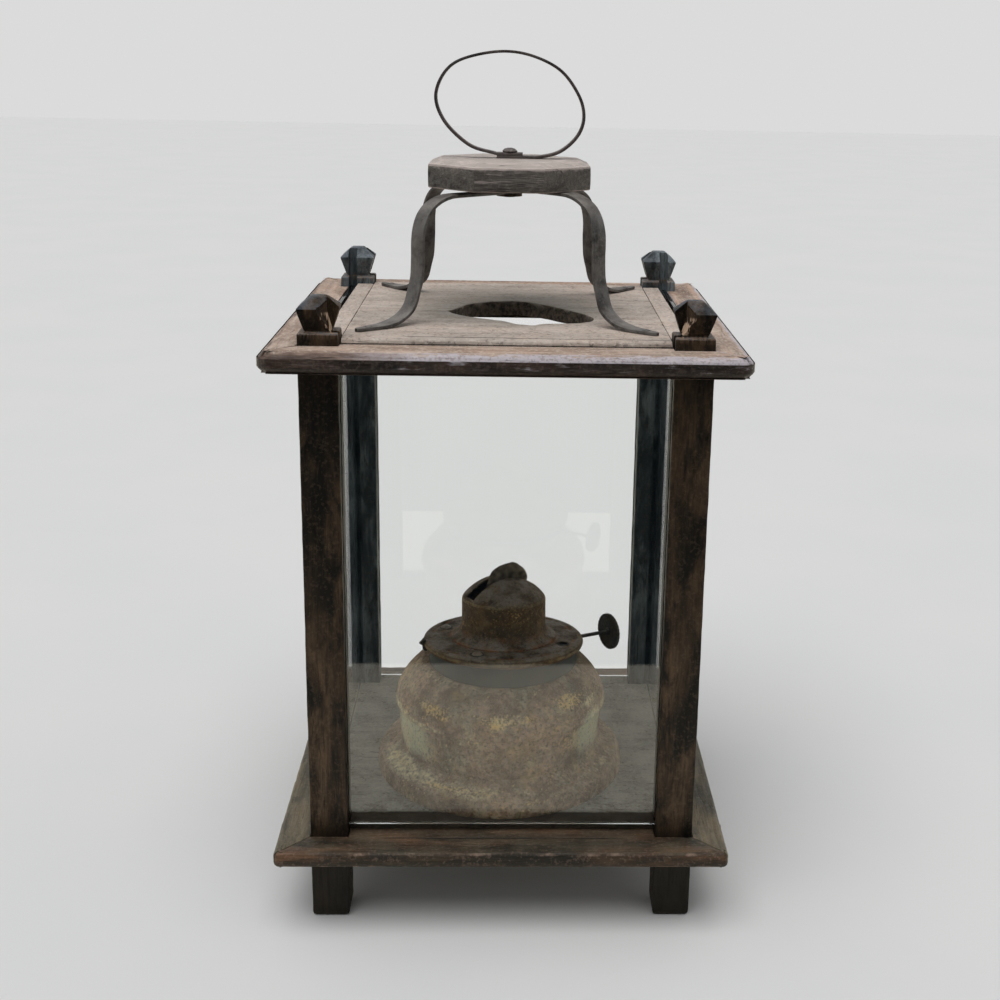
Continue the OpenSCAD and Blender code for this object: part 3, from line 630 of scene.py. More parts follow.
def wood(name, stretch, dark, mid, light, rubbed, dust_tone, patch=0.5, wear=0.2, dust=0.3, gloss=0.55,
         seed=(0, 0, 0), depth=0.25, patch_scale=22.0, grime=0.45, flecks=0.25, cracks=0.6, pores=0.5,
         low_darkening=0.0, lines=(), smoke_and_dark_sides=False, spots_mix=0.7, shine=0.3, front_shade_strip=False,
         even=0.0, streaks=0.0):
    """Old wood: bands of three tones, grime, flecks, pores and cracks, rubbed edges and dust."""
    material, t, shader = new_material(name)
    grain = t.group("wood grain", Stretch=stretch, Seed=seed)
    soft = tuple(0.3 if part < 1 else 1.0 for part in stretch)
    spots = t.patches(patch_scale, patch, 0.15, Stretch=soft, Seed=seed)
    dirt = t.patches(85.0, 0.45, 0.1, Stretch=soft, Detail=8.0, Seed=seed)
    bright = t.patches(520.0, 0.3, 0.06, Detail=3.0, Seed=seed)
    black = t.patches(430.0, 0.28, 0.06, Detail=3.0, Seed=(0.7, 0.2, 0.5))
    colour = t.over(dark, (grain["Bands"], 0.75, mid), (spots, spots_mix, light))
    colour = t.mix(t.times(grain["Fibres"], 0.4), colour, mid, "OVERLAY")
    edge = t.group("rubbed edges", Amount=wear)["Mask"]
    colour = t.over(colour, (dirt, grime, dark), (bright, flecks, rubbed),
                    (black, flecks * 1.4, (16, 13, 10)), (grain["Pores"], pores, (14, 11, 8)),
                    (edge, 0.75, rubbed))
    if streaks:
        drawn = t.vector("MULTIPLY", t.where(), stretch)
        line = t.band(t.noise(drawn, 520.0, 3.0, 0.6), 0.55, 0.62)
        line = t.times(line, t.band(t.maths("ABSOLUTE", t.normal()["X"]), 0.5, 0.25))
        colour = t.over(colour, (line, streaks, rubbed))
    colour = t.mix(t.group("dust", Amount=dust, Even=even)["Mask"], colour, dust_tone)
    colour = t.over(colour, (grain["Cracks"], cracks, (16, 13, 10)))
    upright = t.vector("MULTIPLY", t.where(), (1.0, 1.0, 0.1))
    splinter = t.band(t.noise(upright, 560.0, 2.0, 0.5), 0.42, 0.54)
    fresh = t.mix(splinter, (52, 38, 28), (204, 176, 150))
    colour = t.mix(t.band(mark(t, "split"), 0.3, 0.8), colour, fresh)
    colour = t.over(colour, (mark(t, "ledge"), t.band(grain["Fibres"], 0.2, 0.8), rubbed))
    where = t.where()
    place = t.parts(where)
    if low_darkening:
        # Darker towards the bottom, fully so from about the base frame down
        foot = t.band(t.plus(place["Z"], t.times(t.noise(where, 60.0, 4.0), 0.02)), 0.078, 0.045)
        colour = t.over(colour, (foot, low_darkening, (10, 9, 7)))
    if front_shade_strip:
        # Painted shade along the front of the floor, in front of and under the lamp's foot
        strip = t.band(t.plus(place["Y"], t.times(t.noise(where, 90.0, 4.0), 0.004)), -0.0805, -0.0835)
        colour = t.over(colour, (strip, 0.88, t.mix(grain["Fibres"], (34, 27, 20), (70, 56, 42))))
    colour, height = scored(t, where, lines, colour, grain["Height"])
    if smoke_and_dark_sides:
        # Darkens the side faces of the board
        side = t.band(t.plus(t.normal()["Z"], t.times(grain["Bands"], 0.2)), 0.42, 0.15)
        colour = smoked(t, where, side, t.over(colour, (side, 0.9, (30, 24, 20))))
    rough_wood = t.band(grain["Fibres"], 0.0, 1.0, gloss - 0.08, gloss + 0.14)
    shader.inputs["Specular IOR Level"].default_value = shine
    finish_with(t, shader, colour, rough_wood, height, depth)
    return material


X_GRAIN, Y_GRAIN, Z_GRAIN = (0.06, 1, 1), (1, 0.06, 1), (1, 1, 0.06)
ROOF_SPLITS = ((0.0475, -0.006, 0.008, 0.0008), (-0.0115, -0.049, -0.028, 0.0009),
               (-0.0862, -0.05, 0.004, 0.0010), (-0.0872, 0.0, 0.082, 0.0009))
LINE_END = 0.004


def stained(name, stretch, seed, gloss=0.45, low_darkening=0.0, dark=(14, 12, 8), mid=(56, 45, 34),
            light=(108, 86, 64)):
    """Dark stained wood with grey dust on what faces up; that dust's blue-grey is partly a painted sheen on the
    upward faces.
    """
    return wood(name, stretch, dark, mid, light, (140, 116, 94), (112, 120, 130),
                patch=0.42, wear=0.12, dust=0.75, gloss=gloss, seed=seed, grime=1.0, flecks=0.12, pores=0.7,
                low_darkening=low_darkening, patch_scale=42.0, spots_mix=0.85, shine=0.22)


def weathered(name, stretch, seed, patch=0.5):
    """Bare roof wood, bleached and smoked."""
    return wood(name, stretch, (146, 134, 124), (196, 184, 174), (216, 196, 182), (236, 224, 212),
                (208, 200, 192), patch=patch, wear=0.25, dust=0.35, gloss=0.6, seed=seed, grime=0.35,
                flecks=0.35, lines=ROOF_SPLITS, smoke_and_dark_sides=True, cracks=0.12, pores=0.35)


def base_wood(name, stretch, seed, dark, mid, light, lines=()):
    """Worn wood of the base frame, in the tones of one pair of rails."""
    return wood(name, stretch, dark, mid, light, (196, 164, 144), (112, 104, 86), patch=0.4, wear=0.2, dust=0.3,
                gloss=0.45, seed=seed, flecks=0.12, grime=0.9, patch_scale=26.0, lines=lines, cracks=0.3,
                pores=0.4, spots_mix=0.8)


POST_WOOD = stained("post wood", Z_GRAIN, (0.3, 0.1, 0.0), low_darkening=0.92)
# The back posts are the same wood as the front ones, painted lighter and blue-grey as a painted reflection over
# them
BACK_POST_WOOD_WITH_PAINTED_REFLECTION = stained("back post wood with painted reflection", Z_GRAIN, (0.1, 0.3, 0.0), low_darkening=0.3, dark=(42, 49, 53),
                         mid=(104, 114, 120), light=(148, 158, 162))
BASE_X = base_wood("base wood along x", X_GRAIN, (0.0, 0.4, 0.2), (32, 28, 21), (76, 64, 49), (136, 100, 74),
                   lines=((-0.104, -0.064, 0.064, 0.0007),))
BASE_Y = base_wood("base wood along y", Y_GRAIN, (0.2, 0.7, 0.1), (68, 66, 57), (130, 124, 104),
                   (156, 136, 108))
FLOOR_WOOD = wood("floor wood", X_GRAIN, (112, 110, 102), (160, 158, 149), (174, 166, 152),
                  (194, 188, 174), (192, 188, 178), patch=0.5, wear=0.2, dust=0.6, gloss=0.75,
                  seed=(0.5, 0.2, 0.3), flecks=0.5, front_shade_strip=True)
BATTEN_WOOD = stained("batten wood", X_GRAIN, (0.9, 0.1, 0.4), gloss=0.6)


def bullnose(name, stretch, seed):
    """Top frame: bare and worn on the flat, dark round its outer edge, with a painted highlight along the top
    of the rounding.
    """
    material, t, shader = new_material(name)
    grain = t.group("wood grain", Stretch=stretch, Seed=seed)
    soft = tuple(0.3 if part < 1 else 1.0 for part in stretch)
    spots = t.patches(30.0, 0.5, 0.16, Stretch=soft, Seed=seed)
    dirt = t.patches(95.0, 0.45, 0.1, Stretch=soft, Detail=8.0, Seed=seed)
    fleck = t.patches(480.0, 0.36, 0.07, Detail=3.0, Seed=seed)
    flat = t.over(t.mix(grain["Bands"], (138, 112, 96), (190, 162, 142)), (spots, 0.75, (206, 190, 178)))
    flat = t.mix(t.times(grain["Fibres"], 0.4), flat, (180, 152, 132), "OVERLAY")
    flat = t.over(flat, (dirt, 0.45, (104, 84, 70)), (fleck, 0.45, (224, 208, 192)))
    edge = t.over(t.mix(grain["Bands"], (22, 17, 14), (48, 36, 30)), (dirt, 0.6, (84, 64, 54)),
                  (fleck, 0.2, (140, 118, 108)))
    normal = t.normal()["Z"]
    where = t.where()
    drawn = t.vector("MULTIPLY", where, tuple(0.2 if part < 1 else 1.0 for part in stretch))
    curved = t.band(normal, 0.995, 0.93)
    streak = t.times(t.times(t.minus(t.noise(drawn, 260.0, 6.0, 0.68), 0.5), 1.5), curved)
    ragged = t.plus(normal, streak)
    # Painted highlight along the top of the rounding: bluish-white towards the right, brownish towards the left
    highlight_side = t.band(t.plus(t.parts(where)["X"], t.times(streak, 0.05)), -0.09, -0.035)
    highlight_tone = t.mix(t.times(fleck, 0.5), (208, 200, 206), (126, 104, 96))
    highlight_tone = t.mix(highlight_side, t.mix(dirt, (150, 124, 110), (84, 64, 54)), highlight_tone)
    colour = t.mix(t.band(ragged, 0.6, 0.94), edge, flat)
    highlight_band = t.times(t.times(t.band(ragged, 1.0, 0.9), t.band(ragged, 0.05, 0.3)), curved)
    colour = t.over(colour, (highlight_band, 0.85, highlight_tone), (grain["Pores"], 0.45, (30, 22, 18)),
                    (grain["Cracks"], 0.6, (30, 22, 18)))
    roughness = t.band(normal, 0.4, 0.98, 0.3, 0.58)
    shader.inputs["Specular IOR Level"].default_value = 0.4
    finish_with(t, shader, colour, roughness, grain["Height"], 0.3)
    return material


TOP_X = bullnose("top wood along x", X_GRAIN, (0.1, 0.2, 0.6))
TOP_Y = bullnose("top wood along y", Y_GRAIN, (0.7, 0.2, 0.4))
ROOF_WOOD = weathered("roof wood", X_GRAIN, (0.4, 0.8, 0.1))
STRIP_WOOD = weathered("roof strip wood", Y_GRAIN, (0.2, 0.3, 0.9), patch=0.6)
PLATE_WOOD = wood("handle plate wood", X_GRAIN, (46, 45, 44), (132, 128, 122), (150, 140, 130),
                  (224, 206, 198), (226, 212, 204), patch=0.4, wear=0.46, dust=0.9, gloss=0.5,
                  seed=(0.3, 0.3, 0.2), depth=0.6, flecks=0.12, pores=0.35, grime=0.3, even=0.72, streaks=0.5)


def iron(name, dark, mid, rust, light, metallic=0.55, gloss=0.5, wear=0.4, seed=(0, 0, 0)):
    """Forged iron, dark with dull rust and bright rubbed edges."""
    material, t, shader = new_material(name)
    marks = t.group("rust", Seed=seed)
    colour = t.mix(marks["Height"], dark, mid)
    colour = t.over(colour, (marks["Blotches"], 0.55, rust))
    edge = t.group("rubbed edges", Amount=wear, Scale=90.0)["Mask"]
    colour = t.over(colour, (edge, 0.6, light), (marks["Specks"], 0.25, light))
    colour = t.mix(t.group("dust", Amount=0.45)["Mask"], colour, (176, 168, 160))
    roughness = t.band(marks["Blotches"], 0.0, 1.0, gloss, gloss + 0.22)
    shader.inputs["Metallic"].default_value = metallic
    shader.inputs["Specular IOR Level"].default_value = 0.3
    finish_with(t, shader, colour, roughness, marks["Height"], 0.12)
    return material


STRAP_IRON = iron("strap iron", (22, 23, 25), (58, 59, 61), (70, 60, 52), (150, 146, 142), wear=0.45)
RING_IRON = iron("ring iron", (40, 38, 42), (66, 62, 64), (92, 74, 66), (130, 122, 120), seed=(0.3, 0, 0))
NAIL_IRON = iron("nail iron", (50, 44, 38), (84, 72, 62), (110, 82, 60), (140, 124, 108), seed=(0, 0.3, 0))
# Pale tin on the rivet heads, its paleness partly a painted glint
GLINTING_RIVET_TIN = iron("burner rivet tin with painted glint", (120, 112, 100), (190, 180, 166), (150, 122, 90),
                 (236, 226, 210), metallic=0.4, gloss=0.35, seed=(0.2, 0, 0.4))
WHEEL_IRON = iron("thumbwheel iron", (44, 46, 44), (84, 84, 80), (96, 82, 66), (140, 134, 124),
                  metallic=0.4, gloss=0.6, seed=(0, 0, 0.4))


def tin(name, base, rust, gold, grey, pale, gold_amount, seed, metallic=0.4, gloss=0.45, crease=None,
        dust=0.2, specks=0.5, dust_tone=(152, 142, 128)):
    """Tinned sheet: grey where the tin is left, gold where its lacquer is left, rusty brown elsewhere."""
    material, t, shader = new_material(name)
    marks = t.group("rust", Seed=seed)
    stains = t.patches(26.0, 0.5, 0.2, Detail=7.0, Seed=seed)
    bloom = t.patches(75.0, 0.46, 0.14, Detail=9.0, Seed=seed)
    fine = t.patches(330.0, 0.5, 0.16, Detail=5.0, Seed=seed)
    colour = t.mix(stains, rust, base)
    colour = t.over(colour, (bloom, 0.45, t.mix(marks["Blotches"], base, grey)), (fine, 0.55, rust))
    colour = t.mix(t.times(marks["Height"], 0.45), colour, base, "OVERLAY")
    # On the oil vessel the bare and pale marks also carry painted light on its sides
    bare = t.group("placed stain", Place=mark(t, "bare"), Scale=45.0, Specks=0.2)["Mask"]
    light = t.group("placed stain", Place=mark(t, "pale"), Scale=90.0, Specks=0.6)["Mask"]
    golden = t.group("placed stain", Place=mark(t, "gold"), Scale=90.0, Specks=1.0)["Mask"]
    lacquer = t.patches(60.0, gold_amount, 0.1, Detail=9.0, Seed=seed)
    colour = t.over(colour, (bare, 0.85, t.mix(t.times(bloom, 0.35), grey, base)),
                    (light, 0.92, t.mix(t.times(fine, 0.7), pale, rust)),
                    (t.maths("MAXIMUM", golden, t.times(lacquer, 0.3)), 0.85,
                     t.mix(marks["Blotches"], gold, t.mix(0.5, gold, pale))))
    edge = t.group("rubbed edges", Amount=0.4, Scale=100.0)["Mask"]
    colour = t.over(colour, (edge, 0.6, pale))
    if crease:
        deep = t.times(mark(t, "crease"), t.band(t.noise(t.where(), 160.0, 6.0, 0.7), 0.42, 0.62))
        colour = t.over(colour, (deep, 0.8, crease))
    colour = t.mix(t.group("dust", Amount=dust, Scale=90.0)["Mask"], colour, dust_tone)
    colour = t.over(colour, (marks["Specks"], specks, (34, 25, 18)))
    # Painted shade round the burner's rivets, from the mark the plate carries
    colour = t.mix(mark(t, "rivet_shade"), colour, (12, 11, 9))
    roughness = t.band(t.maths("MAXIMUM", bare, golden), 0.0, 1.0, gloss + 0.18, gloss)
    shader.inputs["Metallic"].default_value = metallic
    shader.inputs["Specular IOR Level"].default_value = 0.25
    finish_with(t, shader, colour, roughness, marks["Height"], 0.2)
    return material


def smooth_tin():
    """The cone under the burner: smooth tin painted dark grey-blue for the shade under the bead, a little
    lighter where it is worn.
    """
    material, t, shader = new_material("burner cone tin in painted shade")
    worn = t.patches(24.0, 0.4, 0.22, Seed=(0.3, 0.2, 0.5))
    spots = t.patches(120.0, 0.4, 0.2, Seed=(0.1, 0.2, 0.5))
    colour = t.mix(worn, (58, 64, 66), (96, 98, 92))
    colour = t.over(colour, (spots, 0.3, (120, 108, 90)))
    edge = t.group("rubbed edges", Amount=0.4, Scale=100.0)["Mask"]
    colour = t.over(colour, (edge, 0.6, (150, 140, 120)))
    shader.inputs["Metallic"].default_value = 0.2
    shader.inputs["Specular IOR Level"].default_value = 0.25
    finish_with(t, shader, colour, t.band(spots, 0.0, 1.0, 0.55, 0.7), worn, 0.02)
    return material


FONT_TIN = tin("font tin", (218, 194, 170), (80, 52, 38), (255, 218, 136), (216, 222, 192),
               (255, 244, 204), 0.3, (0.2, 0.6, 0.1), metallic=0.25, specks=0.6)
BURNER_TIN = tin("burner tin", (134, 112, 84), (60, 44, 30), (214, 166, 100), (120, 118, 104),
                 (186, 164, 126), 0.34, (0.6, 0.1, 0.5), gloss=0.45, crease=(172, 108, 62), dust=1.0,
                 dust_tone=(170, 158, 144), metallic=0.3)
DULL_BRASS = tin("dull brass", (110, 92, 64), (70, 55, 38), (170, 136, 80), (120, 108, 84),
                 (150, 134, 100), 0.35, (0.1, 0.1, 0.8), metallic=0.6)
SHADED_CONE_TIN = smooth_tin()


def wick_material():
    """Woven cotton tape, oily brown with a charred tip."""
    material, t, shader = new_material("wick cotton")
    where = t.where()
    cloud = t.noise(where, 300.0, 6.0, 0.7)
    height = t.parts(where)["Z"]
    char = t.band(t.plus(height, t.times(cloud, 0.004)), 0.166, 0.173)
    across = t.maths("SINE", t.times(mark(t, "across"), 4.2))
    along = t.maths("SINE", t.times(mark(t, "along"), 5.2))
    weave = t.times(across, along)
    colour = t.mix(t.band(cloud, 0.3, 0.7), (88, 78, 64), (186, 170, 148))
    colour = t.over(colour, (t.band(weave, 0.1, -0.6), 0.75, (40, 35, 29)), (char, 0.3, (92, 82, 72)))
    shader.inputs["Specular IOR Level"].default_value = 0.1
    roughness = t.band(cloud, 0.0, 1.0, 0.75, 0.95)
    height = t.plus(t.times(weave, 0.5), t.noise(where, 1500.0, 4.0, 0.7))
    finish_with(t, shader, colour, roughness, height, 0.3)
    return material


WICK_COTTON = wick_material()


def pane_glass():
    """Old window glass: clear, with faint waves."""
    material, t, shader = new_material("pane glass")
    faint = t.noise(t.where(), 6.0, 1.0, 0.4)
    shader.inputs["Base Color"].default_value = tone(253, 255, 254)
    shader.inputs["Transmission Weight"].default_value = 1.0
    shader.inputs["Roughness"].default_value = 0.0
    shader.inputs["IOR"].default_value = 1.5
    waves = t.node("ShaderNodeBump", {"Height": faint, "Distance": 0.0005, "Strength": 0.2})
    t.tree.links.new(waves.outputs["Normal"], shader.inputs["Normal"])
    return material


PANE_GLASS = pane_glass()


# The cage

def post_ring(half, corner, z, grooved, seed, chip=None):
    """One level of a post: its outline with the two grooves, and which of its points are rubbed or split."""
    points, edge = [], []
    depth = min(half, GROOVE_BOTTOM) if grooved else half
    low, high = max(GROOVE[0], -half + corner + 0.3), min(GROOVE[1], half - corner - 0.4)

    def add(u, v, worn=0.0):
        points.append((u, v))
        edge.append(worn)

    def rounded(cu, cv, first):
        for k in range(4):
            a = math.radians(first + 30 * k)
            add(cu + corner * math.cos(a), cv + corner * math.sin(a), 1.0)

    h, c = half, half - corner
    mouth = h - 0.2 if grooved else h
    rounded(-c, -c, 180)
    for t in (0.08, 0.3, 0.5, 0.7, 0.92):
        add(-c + 2 * c * t, -h)
    rounded(c, -c, 270)
    add(h, (low - c) / 2)
    add(h, low - 0.25, 0.6)
    add(mouth, low, 0.8)
    add(depth, low)
    add(depth, (low + high) / 2)
    add(depth, high)
    add(mouth, high, 0.8)
    add(h, high + 0.25, 0.6)
    add(h, (high + c) / 2)
    rounded(c, c, 0)
    add((high + c) / 2, h)
    add(high + 0.25, h, 0.6)
    add(high, mouth, 0.8)
    add(high, depth)
    add((low + high) / 2, depth)
    add(low, depth)
    add(low, mouth, 0.8)
    add(low - 0.25, h, 0.6)
    add((low - c) / 2, h)
    rounded(-c, c, 90)
    for t in (0.92, 0.7, 0.5, 0.3, 0.08):
        add(-h, -c + 2 * c * t)
    split = [0.0] * len(points)
    uncut = list(points)
    if chip is not None:
        over = [i for i, (u, v) in enumerate(points) if u - v > chip and v < low + 0.1]
        if over:
            cut_a = clip_to_chip(points[over[0] - 1], points[over[0]], chip)
            cut_b = clip_to_chip(points[(over[-1] + 1) % len(points)], points[over[-1]], chip)
            for k, i in enumerate(over):
                t = k / max(1, len(over) - 1)
                ridge = 0.3 * rough((k * 2.1, z * 0.12, 0), 1.0, seed + 5) + 0.25 * math.sin(math.pi * t)
                points[i] = (cut_a[0] + (cut_b[0] - cut_a[0]) * t - ridge,
                             cut_a[1] + (cut_b[1] - cut_a[1]) * t + ridge)
                edge[i] = 0.2
                split[i] = 1.0
        points = [(min(u, chip + v), v) if v > low + 0.1 else (u, v) for u, v in points]
    ring = []
    for (u, v), e, began in zip(points, edge, uncut):
        p = (u, v, z)
        inward = 0.10 * rough(p, 26, seed) + 0.05 * rough(p, 5, seed + 2)
        if e > 0:
            inward += e * (0.12 + 0.22 * rough(p, 9, seed + 4) + 1.1 * max(0.0, rough(p, 5, seed + 7) - 0.45))
        inward = max(inward, 0.0)
        size = math.hypot(u, v) or 1.0
        u, v = u - u / size * inward, v - v / size * inward
        if grooved:
            u, v = clear_of_pane(began, (u, v))
            v, u = clear_of_pane(began[::-1], (v, u))
        ring.append((u, v))
    return ring, edge, split


def clear_of_pane(was, now):
    """Puts a worn or split point back behind the wall of the glass groove that it would reach into."""
    (_, across), (u, v) = was, now
    if u > GROOVE_BOTTOM and GROOVE[0] < v < GROOVE[1]:
        if across <= GROOVE[0]:
            v = GROOVE[0]
        elif across >= GROOVE[1]:
            v = GROOVE[1]
        else:
            u = GROOVE_BOTTOM
    return u, v


def clip_to_chip(inside, outside, chip):
    """Where the way from a point inside the split to one outside crosses it."""
    a, b = inside[0] - inside[1], outside[0] - outside[1]
    t = (chip - a) / (b - a) if abs(b - a) > 1e-6 else 0.0
    return inside[0] + (outside[0] - inside[0]) * t, inside[1] + (outside[1] - inside[1]) * t


SOLE = ((0.0, 7.9), (0.35, 8.8), (1.1, 9.5), (2.2, 9.85), (3.4, 10.0))
FINIAL = ((310.0, 10.0), (314.5, 10.0), (318.0, 10.0), (320.7, 9.95), (POST_TOP, 9.5), (POST_TOP + 0.05, 6.9),
          (POST_TOP + 0.6, 6.45), (323.0, 6.98), (324.4, 7.5), (326.2, 8.05), (328.0, 8.6), (329.8, 9.15),
          (331.6, 9.7), (332.5, 9.95), (333.2, 9.9), (334.2, 8.9), (336.4, 6.4), (336.9, 5.82), (337.25, 5.4),
          (337.45, 5.17), (337.6, 5.0), (338.2, 4.3), (338.7, 3.3))


def carved_post(name, sx, sy, chipped, seed):
    """A post from its sole to its finial. Its grooves run out on top, and a front one may be broken there."""
    shaft = [(z, 10.0) for z in (*range(7, 51, 4), 52.9, GROOVE_STOP, *(57.0 + 4.4 * k for k in range(57)))]
    levels = [(z, half, z >= GROOVE_STOP) for z, half in (*SOLE, *shaft, *FINIAL)]
    rings, edges, splits, ledges = [], [], [], []
    for z, half, grooved in levels:
        chip = None
        if chipped and z > POST_TOP + 0.02:
            chip = 13.0 - 3.2 * min(1.0, (z - POST_TOP) / 10) + 0.5 * rough((0, 0, z), 3.0, seed)
        corner = 0.7 if z < POST_TOP else 0.45
        ring, edge, split = post_ring(half, corner, z, grooved, seed, chip)
        if abs(z - POST_TOP) < 0.1:
            ledges += [0.9] * len(split)
        else:
            ledges += [0.45 * max(0.0, 1 - abs(z - POST_TOP) / 2.0)] * len(split)
        splits += [value * 0.35 for value in split] if z > 331 else split
        rings.append([(-sx * (u - POST_AT), -sy * (v - POST_AT), z) for u, v in ring])
        edges.append(edge)
    shape = Shape()
    shape.tube(rings, edges)
    splits += [0.0] * (len(shape.points) - len(splits))
    ledges += [0.0] * (len(shape.points) - len(ledges))
    make_piece("carved_" + name, shape, "cage", POST_WOOD if sy < 0 else BACK_POST_WOOD_WITH_PAINTED_REFLECTION, [name],
               sharp=30, marks={"split": splits, "ledge": ledges})


def turned_quarter(shape, quarter):
    """Turns a front piece to the right (1), back (2) or left (3) side."""
    c, s = ((1, 0), (0, 1), (-1, 0), (0, -1))[quarter]
    return shape.moved(lambda p: (p[0] * c - p[1] * s, p[0] * s + p[1] * c, p[2]))


def rail_outline(inner, corner):
    """A mitred front rail with the post holes cut out of its ends, and which of its edges are outer ones."""
    gap, (hole_in, hole_out) = 0.12, POST_HOLE
    outer = [(-HALF + corner, -HALF), (HALF - corner, -HALF)]
    bend = []
    for k in range(1, 4):
        a = math.radians(15 * k)
        bend.append((HALF - corner + corner * math.sin(a), -HALF + corner - corner * math.cos(a)))
    bend[-1] = (bend[-1][0] - gap, bend[-1][1])
    right = bend + [(hole_out - gap, -hole_out), (hole_in, -hole_out)]
    right += [(hole_in, -inner)] if inner > hole_in else [(hole_in, -hole_in - 0.2), (inner - gap, -inner)]
    left = [(-x, y) for x, y in reversed(right)]
    line = outer + right + left
    near = -HALF + corner + 0.1
    return line, [y0 < near and y1 < near for (_, y0), (_, y1) in zip(line, line[1:] + line[:1])]


RAIL_SIDES = (("front", 0), ("right", 1), ("back", 2), ("left", 3))


def rails():
    """The mitred frames of the base and of the top, a rail for each side."""
    for side, quarter in RAIL_SIDES:
        outline, outer = rail_outline(*BASE_RAIL)
        rounding = [1.9 if o else 0.35 for o in outer]
        shape = turned_quarter(board(outline, BASE_Z[0] - RAIL_DROP, BASE_Z[1], rounding, rounding, wear=0.3,
                                     chips=1.0, seed=3.0 + quarter), quarter)
        make_piece("worn_base_rail_" + side, shape, "cage", (BASE_X, BASE_Y)[quarter % 2],
                   ["base_rail_" + side])
        outline, outer = rail_outline(*TOP_RAIL)
        shape = board(outline, TOP_Z[0] - RAIL_DROP, TOP_Z[1], [6.0 if o else 0.35 for o in outer],
                      [4.6 if o else 0.35 for o in outer], wear=0.2, chips=0.5, seed=8.0 + quarter)
        turned_quarter(shape, quarter)
        make_piece("worn_top_rail_" + side, shape, "cage", (TOP_X, TOP_Y)[quarter % 2],
                   ["top_rail_" + side])


SMOKE_EDGE = [(-33.3, -8.3), (-31.3, -13.3), (-26.3, -20.8), (-20.5, -27.2), (-13.5, -31.5), (-7.5, -34.9),
              (-2.8, -37.4), (1.0, -41.8), (4.8, -46.6), (9.4, -48.1), (13.5, -49.4), (17.8, -45.2),
              (24.6, -43.9), (32.2, -43.1), (38.2, -40.7), (43.4, -37.0), (46.1, -29.1), (44.4, -19.5),
              (39.6, -10.4), (34.6, -2.6), (27.8, 6.2), (20.8, 14.6), (12.7, 22.1), (4.5, 26.3),
              (-2.8, 25.1), (-10.1, 22.8), (-16.4, 19.5), (-21.7, 14.2), (-25.9, 5.3), (-29.9, -4.0)]


def smoke_outline():
    """The smoke hole, clockwise, with the burnt notches in its edge."""
    out = []
    for x, y in smooth_line(SMOKE_EDGE + SMOKE_EDGE[:1], 3)[:-1]:
        bite = 0.5 * rough((x, y, 0), 5, 2.0) + 0.35 * rough((x, y, 0), 2.2, 5.0)
        size = math.hypot(x - 6, y + 12)
        out.append((x + (x - 6) / size * bite, y + (y + 12) / size * bite))
    return out[::-1]


def square(x0, y0, x1, y1):
    """A rectangle's corners, counter-clockwise."""
    return [(x0, y0), (x1, y0), (x1, y1), (x0, y1)]


def boards():
    """Roof, its edge strips, the floor under the lamp and the plate of the handle."""
    shape = board(square(-BOARD_X + 0.1, -ROOF_HALF, BOARD_X - 0.1, ROOF_HALF), *ROOF_Z,
                  [2.6, 0.15, 2.0, 0.15], 0.4, holes=[smoke_outline()], wear=0.3, chips=1.0, seed=21.0)
    make_piece("roof_boards", shape, "cage", ROOF_WOOD, ["roof_board"])
    for side, s in (("left", -1), ("right", 1)):
        x = sorted((s * BOARD_X, s * ROOF_HALF))
        shape = board(square(x[0], -BOARD_X + 0.1, x[1], BOARD_X - 0.1), *ROOF_Z,
                      [0.4, 0.15 if s < 0 else 0.5, 0.4, 0.15 if s > 0 else 0.5], 0.4, wear=0.05, chips=0.3,
                      seed=23.0 + s)
        make_piece("roof_edge_" + side, shape, "cage", STRIP_WOOD, ["roof_strip_" + side])
    f, h = FLOOR_HALF, FLOOR_NOTCH
    notched = [(-h, -f), (h, -f), (h, -h), (f, -h), (f, h), (h, h),
               (h, f), (-h, f), (-h, h), (-f, h), (-f, -h), (-h, -h)]
    shape = board(notched, BASE_Z[1], FLOOR_TOP, 0.5, 0.3, wear=0.2, seed=27.0)
    make_piece("lamp_floor", shape, "cage", FLOOR_WOOD, ["floor_board"])
    reach = PLATE_W / 2 / math.cos(math.pi / 8)
    eight = [turned((reach, 0, 0), 22.5 + 45 * k)[:2] for k in range(8)]
    shape = board(eight, *PLATE_Z, 0.5, 0.8, wear=0.35, chips=1.0, seed=31.0, bevel=(6.0, 3.0), step=2.5)
    make_piece("octagonal_grip_plate", shape, "cage", PLATE_WOOD, ["handle_plate"])


for name, sx, sy in (("post_front_left", -1, -1), ("post_front_right", 1, -1),
                     ("post_back_left", -1, 1), ("post_back_right", 1, 1)):
    carved_post(name, sx, sy, sy < 0, 40.0 + 3 * sx + 7 * sy)
rails()
boards()


# Panes

def pane(side, quarter):
    """A cut sheet of glass with lightly seamed edges."""
    shape = board(square(-PANE_HALF, PANE_Z[0], PANE_HALF, PANE_Z[1]), *PANE, 0.15, 0.15, step=40.0, wear=0.0,
                  chips=0.0)
    shape.moved(lambda p: (p[0], -p[2], p[1]))
    turned_quarter(shape, quarter)
    make_piece("glass_" + side, shape, side + "_glass", PANE_GLASS, ["pane_" + side])


for side, quarter in RAIL_SIDES:
    pane(side, quarter)


# Handle

